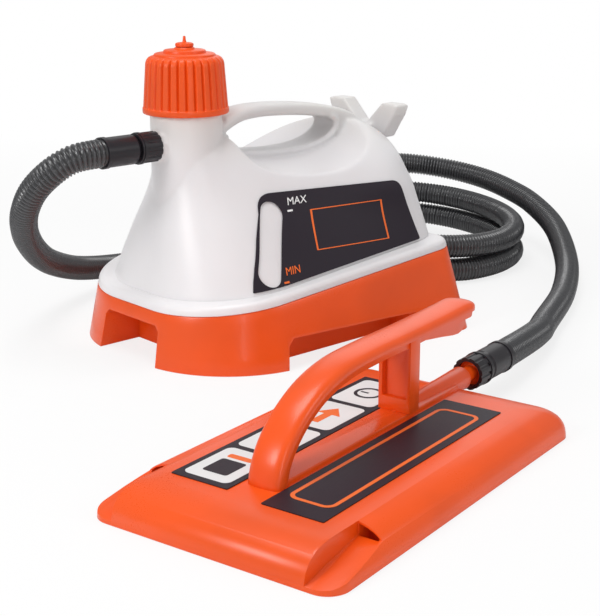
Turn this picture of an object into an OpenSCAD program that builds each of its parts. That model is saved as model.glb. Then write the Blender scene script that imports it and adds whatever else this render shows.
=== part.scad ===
/* [Base unit] */
// Length of the base unit on the floor, nose to rear
base_l = 262; // [240:2:290]
// Width of the base unit on the floor, at mid length
base_w = 230.8; // [210:2:250]
// How much wider the rear is than the middle, as a share of the width
taper = 0.12; // [0.06:0.01:0.16]
// Radius of the two nose corners on the floor
nose_r = 86; // [76:1:92]
// Radius of the two rear corners
rear_r = 16; // [12:1:22]
// How far the base walls lean inwards per millimetre of height
flare = 0.2; // [0.1:0.02:0.24]
// Height of the line between base and tank, at mid length
line_h = 55.8; // [52:0.2:60]
// Rise of that line per millimetre towards the rear
line_rise = 0.12; // [0.08:0.01:0.14]
// Wall of the base housing
base_wall = 3; // [2.4:0.1:3.6]
// Height of the side arches
arch_h = 23; // [16:1:26]
// Height of the nose arch
nose_arch_h = 31; // [24:1:34]

/* [Tank] */
// Wall of the water tank
tank_wall = 3; // [2.4:0.1:3.4]
// Height of the flange on which the tank stands
flange_h = 6.8; // [6:0.2:8]
// Distance of the neck's axis behind the nose of the base
neck_back = 63.5; // [59:0.5:67]
// Outer radius of the filler neck
neck_r = 27.6; // [26:0.2:28.2]
// Radius of the threaded finish under the cap
finish_r = 24.9; // [24:0.1:25.4]
// Bore radius of the filler neck
filler_r = 21; // [19:0.5:21.6]
// Height of the neck's shoulder, where the cap's rim comes down
neck_h = 183; // [178:1:188]
// Length of the threaded finish above the shoulder
finish_l = 23; // [20:1:26]
// Highest point of the carrying handle
handle_h = 184; // [181:1:188]
// Width of the carrying handle
handle_w = 26; // [22:1:28]
// Thickness of the carrying handle
handle_t = 10.5; // [9:0.5:12]
// Spread of the two cradle prongs, tip to tip
cradle_w = 90; // [80:2:96]

/* [Cap and relief valve] */
// Radius of the cap's rim
cap_r = 33; // [31:0.5:34]
// Height of the cap's skirt
cap_skirt = 41; // [38:1:44]
// Number of grip flutes
flutes = 30; // [24:2:40]
// Depth of a grip flute
flute_d = 1.5; // [0.8:0.1:1.8]
// Travel of the relief valve
valve_lift = 3; // [2:0.5:3.5]
// Radius of the valve's stem
stem_r = 2.5; // [2:0.1:3]

/* [Hose] */
// Outer radius of the ribbed hose
hose_r = 10.25; // [9.5:0.05:10.3]
// Bore radius of the hose
hose_bore = 7; // [6:0.2:7.4]
// Spacing of the hose ribs
rib_pitch = 13.8; // [13.8:0.2:18]
// Depth of the groove between two ribs
rib_d = 1.1; // [0.6:0.1:1.4]
// Radius of the hose coil, at the middle of the hose
coil_r = 108; // [100:1:112]
// Turns of the hose coil
coil_turns = 2; // [2:1:2]
// Outer radius of a union nut
nut_r = 11.6; // [11.2:0.1:12.4]
// Length of a union nut
nut_l = 18; // [16:1:20]
// Length of a hose cuff
cuff_l = 29; // [26:1:34]

/* [Steam plate] */
// Length of the steam plate
plate_l = 280; // [250:2:300]
// Width of the steam plate
plate_w = 170; // [150:2:180]
// Height of the plate's flat top
plate_h = 21; // [20:0.5:24]
// Wall of the steam plate
plate_wall = 2.5; // [2:0.1:3]
// Corner radius of the steam plate on the wall side
plate_r = 14; // [10:1:18]
// Height of the plate handle's grip
grip_h = 79; // [74:1:84]
// Width of the plate handle
grip_w = 24; // [20:1:26]
// Place of the handle's strut along the plate
strut_s = 58; // [50:1:64]
// Outer radius of the inlet pipe
pipe_r = 5.3; // [4.6:0.1:5.4]

/* [Hidden] */

base_at = [92, 130, 0];
plate_at = [-68, -146, 0];
plate_turn = 12.3;
gap = 0.1;
fit = 0.05;
eps = 0.01;
$fn = 48;

half_l = base_l/2;
// Distance of the neck's axis ahead of mid length
neck_x = half_l-neck_back;
line_tilt = atan(line_rise);
side_slope = taper*base_w/base_l;
side_sec = norm([1, side_slope]);
tall = 100;
rear_steps = 5;
nose_steps = 9;
side_steps = 7;

function half_w(x) = base_w/2*(1+taper*x/half_l);

// A plan outline is [nose_x, nose_r, nose_y, rear_x, rear_r, rear_y]: two arcs and their mirror images
function turn_of(o) =
    let(d = [o[3]-o[4]-o[0]-o[1], o[5]-o[2]])
    atan2(d.y, d.x)+acos((o[1]-o[4])/norm(d));
function half_plan(o) =
    let(t = turn_of(o))
    let(rear = [for (i = [0:rear_steps]) let(a = t*i/rear_steps)
                   [o[3]-o[4]+o[4]*cos(a), o[5]+o[4]*sin(a)]],
        nose = [for (i = [0:nose_steps]) let(a = t+(180-t)*i/nose_steps)
                   [o[0]+o[1]+o[1]*cos(a), o[2]+o[1]*sin(a)]])
    concat(rear, [for (i = [1:side_steps-1]) lerp(rear[rear_steps], nose[0], i/side_steps)], nose);
function plan(o) =
    let(h = half_plan(o), n = len(h))
    concat(h, [for (i = [n-1:-1:0]) [h[i].x, -h[i].y]]);

// The flared base outline, drawn in by e on all sides
function base_outline(e) =
    let(rn = nose_r-e, rr = max(rear_r-0.1*e, 3))
    [-half_l+e, rn, half_w(nose_r-half_l)-(e+rn)*side_sec,
     half_l-e, rr, half_w(half_l-rr)-(e+rr)*side_sec];
function base_ring(z, e) = [for (p = plan(base_outline(e+flare*z))) [p.x, p.y, z]];
// The same outline on a plane parallel to the tank's line, off above it
function line_ring(off, e) =
    let(lo = plan(base_outline(e)), hi = plan(base_outline(e+flare*tall)))
    [for (i = [0:len(lo)-1])
        let(k = (hi[i]-lo[i])/tall,
            z = (line_h+off+line_rise*lo[i].x)/(1-line_rise*k.x))
        [lo[i].x+k.x*z, lo[i].y+k.y*z, z]];

// Closed solid through rings of equal point count, lowest ring first
module loft(rings) {
    n = len(rings[0]);
    m = len(rings);
    points = [for (r = rings) each r];
    sides = [for (j = [0:m-2], i = [0:n-1]) let(k = (i+1)%n, a = j*n)
                each [[a+i, a+n+i, a+n+k], [a+i, a+n+k, a+k]]];
    polyhedron(points, concat([[for (i = [0:n-1]) i]], sides,
                              [[for (i = [n-1:-1:0]) (m-1)*n+i]]), convexity = 6);
}

// Loft of thin folded sections: each ring runs along the outer face and back along the inner one
module sheet_loft(rings) {
    n = len(rings[0]);
    m = len(rings);
    h = n/2;
    sides = [for (j = [0:m-2], i = [0:n-1]) let(k = (i+1)%n, a = j*n)
                each [[a+i, a+n+i, a+n+k], [a+i, a+n+k, a+k]]];
    ends = [for (i = [0:h-2]) let(q = n-1-i, z = (m-1)*n)
               each [[i, i+1, q-1], [i, q-1, q], [z+i, z+q-1, z+i+1], [z+i, z+q, z+q-1]]];
    polyhedron([for (r = rings) each r], concat(sides, ends), convexity = 8);
}

module at_base() { translate(base_at) children(); }
module at_plate() { translate(plate_at) rotate([0, 0, plate_turn]) children(); }
// Frame whose floor is the sloping line between base and tank
module line_frame() { translate([0, 0, line_h]) rotate([0, -line_tilt, 0]) children(); }
module on_line() { at_base() line_frame() children(); }

// ---------------------------------------------------------------- base housing
deck_t = 3;
deck_hole_r = 23;
arch_front = -59;
arch_rear = 75;
arch_depth = 24;
nose_arch_w = 72;
nose_arch_depth = 38;
pocket_wall = 2.4;
gland_z = 15;
gland_y = -45;
gland_r = 8;
gland_bore = 4;
cover_z = 3;
cover_t = 2.5;
screw_r = 2;
boss_r = 5;
cover_screw_l = 13;
deck_screw_l = 8;
head_l = 2.2;
// Places of the screws that hold the tank, and of those that hold the cover
deck_places = [[-72, 46], [6, 74], [88, 80], [-72, -46], [6, -74], [88, -80]];
cover_places = [[-66, 60], [96, 92], [-66, -60], [96, -92]];

module nose_pocket(grow) {
    w = nose_arch_w/2+grow;
    h = nose_arch_h+grow;
    inner = -half_l+nose_arch_depth+grow;
    rotate([90, 0, 90]) translate([0, 0, -half_l-20])
        linear_extrude(inner+half_l+20)
            polygon([[-w, -1], [w, -1], [w-2, h-4], [w-6, h], [6-w, h], [2-w, h-4]]);
}
module side_pocket(side, grow) {
    a = arch_front-grow;
    b = arch_rear+grow;
    h = arch_h+grow;
    inner = half_w(arch_front)-arch_depth-grow;
    profile = [[a, -1], [b, -1], [b-3, h-5], [b-8, h], [a+8, h], [a+3, h-5]];
    mirror([0, side < 0 ? 1 : 0, 0])
        translate([0, half_w(arch_rear)+30, 0]) rotate([90, 0, 0])
            linear_extrude(half_w(arch_rear)+30-inner) polygon(profile);
}
module pockets(grow) {
    nose_pocket(grow);
    for (side = [-1, 1]) side_pocket(side, grow);
}
module base_outer() { loft([base_ring(0, 0), line_ring(-gap, 0)]); }

module base_housing() color("orangered") at_base() {
    difference() {
        base_outer();
        difference() {
            loft([base_ring(-1, base_wall), line_ring(-deck_t-gap, base_wall)]);
            pockets(pocket_wall);
            for (p = cover_places) translate([p.x, p.y, cover_z+cover_t]) cylinder(h = tall, r = boss_r);
        }
        pockets(0);
        line_frame() {
            translate([0, 0, -20]) cylinder(h = 40, r = deck_hole_r);
            for (p = deck_places) translate([p.x, p.y, -20]) cylinder(h = 40, r = screw_r+gap);
        }
        for (p = cover_places) translate([p.x, p.y, -1])
            cylinder(h = cover_z+cover_screw_l+1.6, r = screw_r+gap);
        translate([half_l-20, gland_y, gland_z]) rotate([0, 90, 0]) cylinder(h = 40, r = gland_r-2);
    }
}

module base_cover() color("dimgray") at_base() difference() {
    loft([base_ring(cover_z, base_wall+0.4), base_ring(cover_z+cover_t, base_wall+0.4)]);
    pockets(pocket_wall+0.3);
    for (p = cover_places) translate([p.x, p.y, 0]) cylinder(h = 10, r = screw_r+gap);
}

module screw(l, head_r, head_h) {
    cylinder(h = head_h, r = head_r);
    translate([0, 0, head_h-eps]) cylinder(h = l+eps, r = screw_r);
}
module cover_screws() color("silver") at_base()
    for (p = cover_places) translate([p.x, p.y, cover_z-head_l]) screw(cover_screw_l, 3.6, head_l);
module deck_screws() color("silver") on_line()
    for (p = deck_places) translate([p.x, p.y, -deck_t-gap-head_l]) screw(deck_screw_l, 3.6, head_l);

// ---------------------------------------------------------------- parts in the base
gland_wall_x = half_l-flare*gland_z;
gland_lean = flare*gland_r+0.2;
gland_in = -14;
gland_out = gland_lean+2.8;
module cord_gland() color("black") at_base() translate([gland_wall_x, gland_y, gland_z]) rotate([0, 90, 0])
    difference() {
        union() {
            translate([0, 0, gland_in]) cylinder(h = gland_out-gland_in, r = gland_r-2.2);
            translate([0, 0, gland_lean]) cylinder(h = gland_out-gland_lean, r = gland_r);
            translate([0, 0, gland_in]) cylinder(h = -base_wall-gland_lean-gland_in, r = gland_r-0.4);
        }
        translate([0, 0, gland_in-2]) cylinder(h = gland_out-gland_in+4, r = gland_bore);
    }
clamp_x = gland_wall_x-34;
module cable_clamp() color("dimgray") at_base() translate([0, gland_y, 0]) difference() {
    translate([clamp_x, -15, cover_z+cover_t]) cube([10, 30, gland_z-cover_z-cover_t+9]);
    translate([clamp_x-1, 0, gland_z]) rotate([0, 90, 0]) cylinder(h = 12, r = gland_bore+0.4);
    for (y = [-10, 10]) translate([clamp_x+5, y, 0]) cylinder(h = tall, r = 1.6);
}
block_x = 38;
module terminal_block() color("white") at_base() difference() {
    translate([block_x, -21, cover_z+cover_t]) cube([18, 42, 16]);
    for (y = [-14, 0, 14]) {
        translate([block_x-1, y, cover_z+cover_t+6]) rotate([0, 90, 0]) cylinder(h = 20, r = 2.6);
        translate([block_x+9, y, cover_z+cover_t+6]) cylinder(h = 20, r = 2.8);
    }
}
cutout_y = 36;
module thermal_cutout() color("saddlebrown") on_line() translate([0, cutout_y, -deck_t-gap]) difference() {
    union() {
        translate([0, 0, -9.1]) cylinder(h = 9, r = 8);
        translate([-17, -5, -1.7]) cube([34, 10, 1.6]);
        for (x = [-4, 4]) translate([x-0.4, -3, -18]) cube([0.8, 6, 10]);
    }
    for (x = [-13.5, 13.5]) translate([x, 0, -4]) cylinder(h = 6, r = 1.6);
}

// ---------------------------------------------------------------- heating element
shank_r = 19;
flange_r = 29;
flange_t = 4;
seal_t = 2;
tank_floor = tank_wall+gap;
tube_r = 4;
loop_r = 36;
module element_nut() color("goldenrod") on_line() translate([0, 0, -deck_t-gap-8.1]) difference() {
    cylinder(h = 8, r = 31, $fn = 6);
    translate([0, 0, -1]) cylinder(h = 10, r = shank_r+fit);
}
module element_seal() color("black") on_line() translate([0, 0, tank_floor]) difference() {
    cylinder(h = seal_t, r = flange_r-1);
    translate([0, 0, -1]) cylinder(h = seal_t+2, r = shank_r+0.3);
}
module element_flange() color("goldenrod") on_line() difference() {
    union() {
        translate([0, 0, tank_floor+seal_t]) cylinder(h = flange_t, r = flange_r);
        translate([0, 0, -deck_t-12]) cylinder(h = deck_t+12+tank_floor+seal_t+1, r = shank_r);
    }
    translate([0, 0, -deck_t-14]) cylinder(h = 16, r = shank_r-4);
    for (y = [-11, 11]) translate([0, y, -20]) cylinder(h = 60, r = tube_r+fit);
}
loop_z = tank_floor+seal_t+flange_t+10;
module heating_element() color("silver") on_line() {
    for (y = [-11, 11]) translate([0, y, -deck_t-9]) cylinder(h = loop_z+deck_t+9, r = tube_r);
    for (s = [-1, 1]) element_leg(s);
    translate([0, 0, loop_z]) rotate([0, 0, 22]) rotate_extrude(angle = 316)
        translate([loop_r, 0]) circle(r = tube_r, $fn = 24);
}
// Straight leg from a terminal tube out to the loop's open end
module element_leg(s) {
    a = [0, 11*s, loop_z];
    b = [loop_r*cos(22), loop_r*sin(22)*s, loop_z];
    d = b-a;
    translate(a) {
        sphere(r = tube_r, $fn = 24);
        rotate([0, 90, atan2(d.y, d.x)]) cylinder(h = norm(d), r = tube_r, $fn = 24);
    }
    translate(b) sphere(r = tube_r+eps, $fn = 24);
}

// ---------------------------------------------------------------- tank
crease = 11;
// Height, share of the line's rise, nose inset and radius, half width at the nose arc's centre,
// rear inset and radius, side inset at the rear arc's centre
walls = [[0, 1, 19, 76, 91, 15, 20, 28],
         [17, 0.75, 24, 66, 79, 15, 23, 32],
         [37, 0.4, 30, 54, 63, 15, 28, 36],
         [55, 0.15, 36, 42, 48, 15, 34, 39],
         [67, 0, 39, 36, 40, 16, 36, 44],
         [77, 0, 40, 32, 35, 17, 34, 52],
         [87, 0, 41, 29, 30.5, 18, 30, 66],
         [93, 0, 42, 27, 28, 20, 26, 78],
         [98, 0, 45, 24, 25, 24, 20, 92],
         [101, 0, 51, 18, 18.6, 31, 14, 102]];
wall_z0 = line_h+flange_h;
function wall_outline(w, e) =
    let(rx = half_l-w[5]-w[6])
    [-half_l+w[2]+e, w[3]-e, w[4]-w[3], half_l-w[5]-e, w[6]-e, half_w(rx)-w[7]-w[6]];
function wall_ring(w, e, drop) =
    [for (p = plan(wall_outline(w, e))) [p.x, p.y, wall_z0+w[0]-drop+w[1]*line_rise*p.x]];
flange_rings = [line_ring(gap, 0), line_ring(flange_h-2.6, 0.3), line_ring(flange_h-0.7, 2.2),
                line_ring(flange_h, crease-1)];

// Side face of the tank: half width at x on the wall at height z above the crease
function lerp(a, b, t) = a+(b-a)*t;
function wall_at(h) =
    let(k = max([for (i = [0:len(walls)-2]) walls[i][0] <= h ? i : 0]),
        t = (h-walls[k][0])/(walls[k+1][0]-walls[k][0]))
    lerp(walls[k], walls[k+1], t);
function face_y(x, h) =
    let(o = wall_outline(wall_at(h), 0), t = turn_of(o),
        a = [o[0]+o[1]+o[1]*cos(t), o[2]+o[1]*sin(t)],
        b = [o[3]-o[4]+o[4]*cos(t), o[5]+o[4]*sin(t)],
        nose_c = o[0]+o[1], rear_c = o[3]-o[4])
    x < a.x ? o[2]+sqrt(max(o[1]*o[1]-pow(x-nose_c, 2), 0))
    : x > b.x ? o[5]+sqrt(max(o[4]*o[4]-pow(x-rear_c, 2), 0))
    : lerp(a.y, b.y, (x-a.x)/(b.x-a.x));

// Carrying handle: a flat rounded strap swept over the hand hole, [x, height below the top]
strap_line = [[-60, 22], [-46, 13.5], [-34, 6.5], [-20, 1.6], [-3, 0], [16, 0.4], [38, 2], [62, 5],
              [84, 9.6], [100, 15.5], [110, 23.5], [114, 34]];
// Least drop of the strap under the cap's rim
rim_room = 5.5;
strap = [for (p = strap_line) p.x < cap_r-neck_x+2 ? [p.x, max(p[1], handle_h-neck_h+rim_room)] : p];
function strap_dir(i) =
    let(a = strap[max(i-1, 0)], b = strap[min(i+1, len(strap)-1)])
    [b[0]-a[0], 0, a[1]-b[1]]/norm([b[0]-a[0], a[1]-b[1]]);
function strap_ring(i) =
    let(d = strap_dir(i), up = [-d.z, 0, d.x],
        c = [strap[i][0], 0, handle_h-handle_t/2-strap[i][1]])
    [for (k = [0:13]) let(a = 360*k/14, cx = cos(a), sz = sin(a))
        c+up*(handle_t/2*sign(sz)*pow(abs(sz), 0.7))
         +[0, handle_w/2*sign(cx)*pow(abs(cx), 0.5), 0]];
module handle_strap() { loft([for (i = [0:len(strap)-1]) strap_ring(i)]); }

hole_low = 149.5;
module hand_hole() {
    top = handle_h-handle_t;
    translate([0, 80, 0]) rotate([90, 0, 0]) linear_extrude(160)
        polygon([[-36, hole_low+3], [-31, hole_low], [66, hole_low], [76, hole_low+4], [79, 158],
                 [76, top-9.5], [62, top-5], [38, top-2], [16, top-0.4], [-3, top], [-20, top-1.6],
                 [-30, top-5], [-36, top-12]]);
}

cradle_t = 10;
cradle_x = half_l-8;
cradle_top = 174;
module cradle() {
    w = cradle_w/2;
    translate([cradle_x-cradle_t/2, 0, 0]) rotate([90, 0, 90]) linear_extrude(cradle_t)
        polygon([[-w, cradle_top-1], [-w+3, cradle_top-9], [-25, 146], [25, 146],
                 [w-3, cradle_top-9], [w, cradle_top-1], [w-4, cradle_top],
                 [23, cradle_top], [5, 158], [-5, 158], [-23, cradle_top], [4-w, cradle_top]]);
    translate([80, -handle_w/2, 138]) cube([cradle_x-80, handle_w, 19]);
}

// Outlet's axis below the neck's shoulder
outlet_drop = 22.5;
outlet_z = neck_h-outlet_drop;
// Depth of the blind holes for the screws that hold the tank
screw_room = deck_screw_l-deck_t-gap+0.5;
boss_face = neck_x+neck_r+2.6;
// Frame with +Z along the outlet's axis, from the boss's face outwards
module at_outlet() { at_base() translate([-boss_face, 0, outlet_z]) rotate([0, -90, 0]) children(); }
spigot_wall_r = 6.5;

module tank() color("whitesmoke") {
    difference() {
        at_base() difference() {
            union() {
                difference() {
                    loft(concat(flange_rings, [for (w = walls) wall_ring(w, 0, 0)]));
                    hand_hole();
                }
                translate([-neck_x, 0, wall_z0+30]) cylinder(h = neck_h-wall_z0-30, r = neck_r);
                translate([-neck_x, 0, neck_h-1]) cylinder(h = finish_l+1, r = finish_r);
                handle_strap();
                cradle();
            }
            difference() {
                loft(concat([line_ring(tank_floor, crease+tank_wall)],
                            [for (w = walls) if (w[0] < 85) wall_ring(w, tank_wall, tank_wall)]));
                line_frame() for (p = deck_places) translate([p.x, p.y, 0])
                    cylinder(h = screw_room+3, r = boss_r+0.5);
            }
            translate([-neck_x, 0, wall_z0+20]) cylinder(h = neck_h-wall_z0-24, r = neck_r-tank_wall);
            translate([-neck_x, 0, 120]) cylinder(h = 100, r = filler_r);
        }
        at_outlet() translate([0, 0, -20]) cylinder(h = 30, r = spigot_wall_r+0.3);
        on_line() {
            translate([0, 0, -10]) cylinder(h = 30, r = shank_r+0.3);
            for (p = deck_places) translate([p.x, p.y, -2]) cylinder(h = screw_room+2, r = screw_r+gap);
        }
    }
    at_outlet() difference() {
        translate([0, 0, -5]) cylinder(h = 5, r = nut_r-1);
        translate([0, 0, -20]) cylinder(h = 30, r = spigot_wall_r+0.3);
        at_neck_axis() cylinder(h = 200, r = neck_r-tank_wall/2, center = true);
    }
}
// Neck axis as seen from the outlet's frame
module at_neck_axis() { translate([0, 0, -boss_face+neck_x]) rotate([0, 90, 0]) children(); }

// ---------------------------------------------------------------- level label
label_t = 0.8;
label_off = 0.5;
label_cols = 18;
label_foot = 2.5;
label_head = 61;
// Front and rear edge of the label at its foot and at its head
label_foot_x = [-71.6, 93];
label_head_x = [-40, 80];
slot_r = 9.2;
slot_foot = [-56.4, 10.8];
slot_head = [-32.8, 48];
label_rows = concat([label_foot], [for (w = walls) if (w[0] > label_foot && w[0] < label_head) w[0]],
                    [label_head]);
function label_point(i, h, out) =
    let(v = (h-label_foot)/(label_head-label_foot),
        x = lerp(lerp(label_foot_x[0], label_head_x[0], v), lerp(label_foot_x[1], label_head_x[1], v),
                 i/label_cols),
        w = wall_at(h))
    [x, -face_y(x, h)-out, wall_z0+h+w[1]*line_rise*x];
module label_sheet() {
    rows = [for (h = label_rows) concat([for (i = [0:label_cols]) label_point(i, h, label_off+label_t)],
                [for (i = [label_cols:-1:0]) label_point(i, h, label_off)])];
    sheet_loft(rows);
}
module label_slot() {
    zf = wall_z0+slot_foot.y+line_rise*slot_foot.x*0.8;
    zh = wall_z0+slot_head.y+line_rise*slot_head.x*0.2;
    d = [slot_head.x-slot_foot.x, zh-zf];
    a = atan2(d.y, d.x);
    foot_arc = [for (f = [90:15:270]) [slot_r*cos(f), slot_r*sin(f)]];
    head_arc = [for (f = [-90:15:90]) [norm(d)+slot_r*cos(f), slot_r*sin(f)]];
    translate([slot_foot.x, 0, zf]) rotate([90, 0, 0]) rotate([0, 0, a])
        linear_extrude(160) polygon(concat(head_arc, foot_arc));
}
module level_label() color("#2b2730") at_base() difference() {
    label_sheet();
    label_slot();
}

// ---------------------------------------------------------------- cap
cap_gap = 0.3;
cap_z = neck_h+cap_gap;
cap_top = cap_z+cap_skirt;
liner_z = neck_h+finish_l+2;
liner_t = 3;
cap_in = finish_r+0.1;
seat_z = liner_z+liner_t+gap;
seat_r = 9;
pin_foot = seat_z+1;
pin_foot_t = 3;
spring_solid = 7.2;
spring_hi = pin_foot+pin_foot_t+spring_solid+valve_lift;
module at_cap() { at_base() translate([-neck_x, 0, 0]) children(); }
module cap_shell() color("orangered") at_cap() difference() {
    rotate_extrude($fn = 96) polygon([[0, cap_z], [cap_r, cap_z], [cap_r, cap_z+4],
        [cap_r-0.6, cap_z+4.6], [cap_r-3.2, cap_top-4], [cap_r-4.4, cap_top-0.8], [cap_r-7, cap_top+1.2],
        [cap_r-9.6, cap_top+1.9], [cap_r-13.4, cap_top+2.2], [cap_r-13.9, cap_top+4],
        [cap_r-16.4, cap_top+4.4], [cap_r-17, cap_top+5.8], [8, cap_top+6.2], [7.6, cap_top+8.2],
        [0, cap_top+8.2]]);
    for (i = [0:flutes-1]) rotate([0, 0, 360*i/flutes])
        translate([cap_r-0.2, 0, cap_z+5]) rotate([0, -4.2, 0])
            cylinder(h = cap_skirt+6, r = flute_d, $fn = 16);
    translate([0, 0, cap_z-1]) cylinder(h = seat_z-cap_z+1, r = cap_in);
    translate([0, 0, seat_z-1]) cylinder(h = spring_hi-seat_z+1, r = seat_r);
    cylinder(h = 400, r = stem_r+fit);
}
module cap_liner() color("whitesmoke") at_cap() translate([0, 0, liner_z]) difference() {
    cylinder(h = liner_t, r = finish_r-0.2);
    translate([0, 0, -1]) cylinder(h = liner_t+2, r = seat_r-3);
}
module cap_seal() color("dimgray") at_cap() translate([0, 0, neck_h+finish_l]) difference() {
    cylinder(h = liner_z-neck_h-finish_l-gap, r = finish_r-0.2);
    translate([0, 0, -1]) cylinder(h = 5, r = filler_r);
}
pin_top = cap_top+8.5;
module valve_pin() color("orangered") at_cap() {
    translate([0, 0, pin_foot]) cylinder(h = pin_foot_t, r = seat_r-1);
    translate([0, 0, pin_foot+1]) cylinder(h = pin_top-pin_foot, r = stem_r);
    translate([0, 0, pin_top]) cylinder(h = 3, r1 = 6.6, r2 = 7);
    translate([0, 0, pin_top+3-eps]) cylinder(h = 5, r1 = 1.5, r2 = 1);
}
spring_wire = 0.6;
spring_coils = 5;
spring_r = 5;
function spring_mid(i, n) =
    let(t = i/n, a = 360*spring_coils*t)
    [spring_r*cos(a), spring_r*sin(a),
     lerp(pin_foot+pin_foot_t+spring_wire+gap, spring_hi-spring_wire-gap, t)];
module valve_spring() color("silver") at_cap() tube_along(
    [for (i = [0:12*spring_coils]) spring_mid(i, 12*spring_coils)], spring_wire, 6);

// ---------------------------------------------------------------- hose
function unit(v) = v/norm(v);
function run_dir(p, i) = unit(p[min(i+1, len(p)-1)]-p[max(i-1, 0)]);
function side_of(d) = unit(cross(d, [0, 0, 1]));
function ring_at(c, d, r, n) =
    let(s = side_of(d), u = cross(s, d))
    [for (k = [0:n-1]) let(a = 360*(k+0.5)/n) c+r*(cos(a)*s+sin(a)*u)];
module tube_along(p, r, n) { loft([for (i = [0:len(p)-1]) ring_at(p[i], -run_dir(p, i), r, n)]); }

// Point t of the way from b to c on a smooth curve through a, b, c and d
function curve(a, b, c, d, t) =
    0.5*(2*b+(c-a)*t+(2*a-5*b+4*c-d)*t*t+(3*b-a-3*c+d)*t*t*t);
function smooth(p, step) =
    let(n = len(p))
    [for (i = [1:n-3], m = max(round(norm(p[i+1]-p[i])/step), 1), j = [0:m-1])
        curve(p[i-1], p[i], p[i+1], p[i+2], j/m)];

// Ribbed tube with its bore: d0 and d1 are the directions of its square ends
hose_sides = 8;
module ribbed(p, d0, d1) {
    n = len(p);
    last = n-1;
    dirs = [for (i = [0:last]) i <= 1 ? d0 : i >= last-1 ? d1 : run_dir(p, i)];
    inner = [for (i = [0:last]) if (i == 0 || i == last || (i%5 == 0 && i < last-2)) i];
    outer_rings = [for (i = [0:last])
        ring_at(p[i], dirs[i], hose_r-(i%2 == 0 || i == last ? rib_d : 0), hose_sides)];
    inner_rings = [for (i = inner) ring_at(p[i], dirs[i], hose_bore, hose_sides)];
    k = hose_sides;
    base = n*k;
    m = len(inner_rings);
    points = concat([for (r = outer_rings) each r], [for (r = inner_rings) each r]);
    skin = [for (j = [0:n-2], i = [0:k-1]) let(q = (i+1)%k, a = j*k)
                each [[a+i, a+k+q, a+k+i], [a+i, a+q, a+k+q]]];
    bore = [for (j = [0:m-2], i = [0:k-1]) let(q = (i+1)%k, a = base+j*k)
                each [[a+i, a+k+i, a+k+q], [a+i, a+k+q, a+q]]];
    ends = [for (i = [0:k-1]) let(q = (i+1)%k, z = (n-1)*k, y = base+(m-1)*k)
                each [[i, base+q, q], [i, base+i, base+q],
                      [z+i, z+q, y+q], [z+i, y+q, y+i]]];
    polyhedron(points, concat(skin, bore, ends), convexity = 10);
}

half_pitch = rib_pitch/2;
straight = 2*hose_r;
coil_at = [262, 80, 0];
coil_low = 10.6;
coil_step = 24.5;
coil_tip = 12.4;
// Middle of the coil's hose, t turns from its start at the back, clockwise from above
function coil_mid(t) =
    coil_at+[coil_r*sin(360*t), coil_r*cos(360*t), coil_low+coil_step*t+coil_tip*cos(360*t)];
coil_dir = unit([2*PI*coil_r, 0, coil_step]);
coil_in = coil_mid(0)-coil_dir*straight;
coil_out = coil_mid(coil_turns)+coil_dir*straight;
coil_n = 2*round(coil_turns*2*PI*coil_r/rib_pitch);
coil_path = concat([coil_in], [for (i = [0:coil_n]) coil_mid(coil_turns*i/coil_n)], [coil_out]);
coil_gap = min([for (i = [0:2:coil_n/2], j = [i+coil_n/4:2:coil_n])
                   norm(coil_path[i+1]-coil_path[j+1])])-2*hose_r;
echo(least_gap_between_coil_turns = coil_gap);

cuff_seat = 15;
union_l = nut_l+cuff_l+1.8;
tank_hose_at = [-boss_face-union_l+cuff_seat, 0, outlet_z];
tank_route = [[-169, 4, 158], [-181, 13, 149], [-187, 29, 134], [-184, 48, 116],
              [-174, 68, 98], [-157, 90, 79], [-132, 115, 59], [-105, 137, 44], [-72, 157, 31],
              [-33, 173, 22], [16, 185, 16], [67, 191, 14], [115, 192, 15], [159, 191, 18],
              [200, 189, 20]];
plate_route = [[326, 183, 72], [362, 166, 70], [388, 134, 65], [400, 96, 59], [396, 56, 53], [383, 15, 46],
               [353, -37, 34], [299, -93, 18], [231, -140, 11], [156, -180, 11], [116, -202, 14]];
out_tank = [-1, 0, 0];
tank_pts = concat([tank_hose_at, tank_hose_at+out_tank*straight], tank_route,
                  [coil_in-coil_dir*straight, coil_in]);
module hose_tank_run() color("#2a2a2c") at_base() ribbed(
    concat([tank_pts[0]], smooth(tank_pts, half_pitch), [tank_pts[len(tank_pts)-2], coil_in]),
    out_tank, coil_dir);
module hose_coil() color("#2a2a2c") at_base() ribbed(coil_path, coil_dir, coil_dir);

nut_mouth = 150;
pipe_z = 21.5;
in_plate = [-cos(plate_turn), -sin(plate_turn), 0];
plate_hose_at = plate_at-base_at-in_plate*(nut_mouth+union_l-cuff_seat)+[0, 0, pipe_z];
plate_pts = concat([coil_out, coil_out+coil_dir*straight], plate_route,
                   [plate_hose_at-in_plate*straight, plate_hose_at]);
module hose_plate_run() color("#2a2a2c") at_base() ribbed(
    concat([plate_pts[0]], smooth(plate_pts, half_pitch),
           [plate_pts[len(plate_pts)-2], plate_hose_at]), coil_dir, in_plate);
function path_length(p) = len(p) < 2 ? 0 : [for (i = 0, s = 0; i < len(p); i = i+1,
    s = s+(i < len(p) ? norm(p[i]-p[i-1]) : 0)) s][len(p)-1];
echo(hose_length = path_length(smooth(tank_pts, half_pitch))+path_length(coil_path)
     +path_length(smooth(plate_pts, half_pitch))+4*straight);

// ---------------------------------------------------------------- union: spigot, nut and cuff
thread_r = 8.9;
tail_r = 6.8;
collar_r = 8.4;
union_bore = 4;
thread_l = 8;
lip_t = 2;
nut_off = 0.4;
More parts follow.
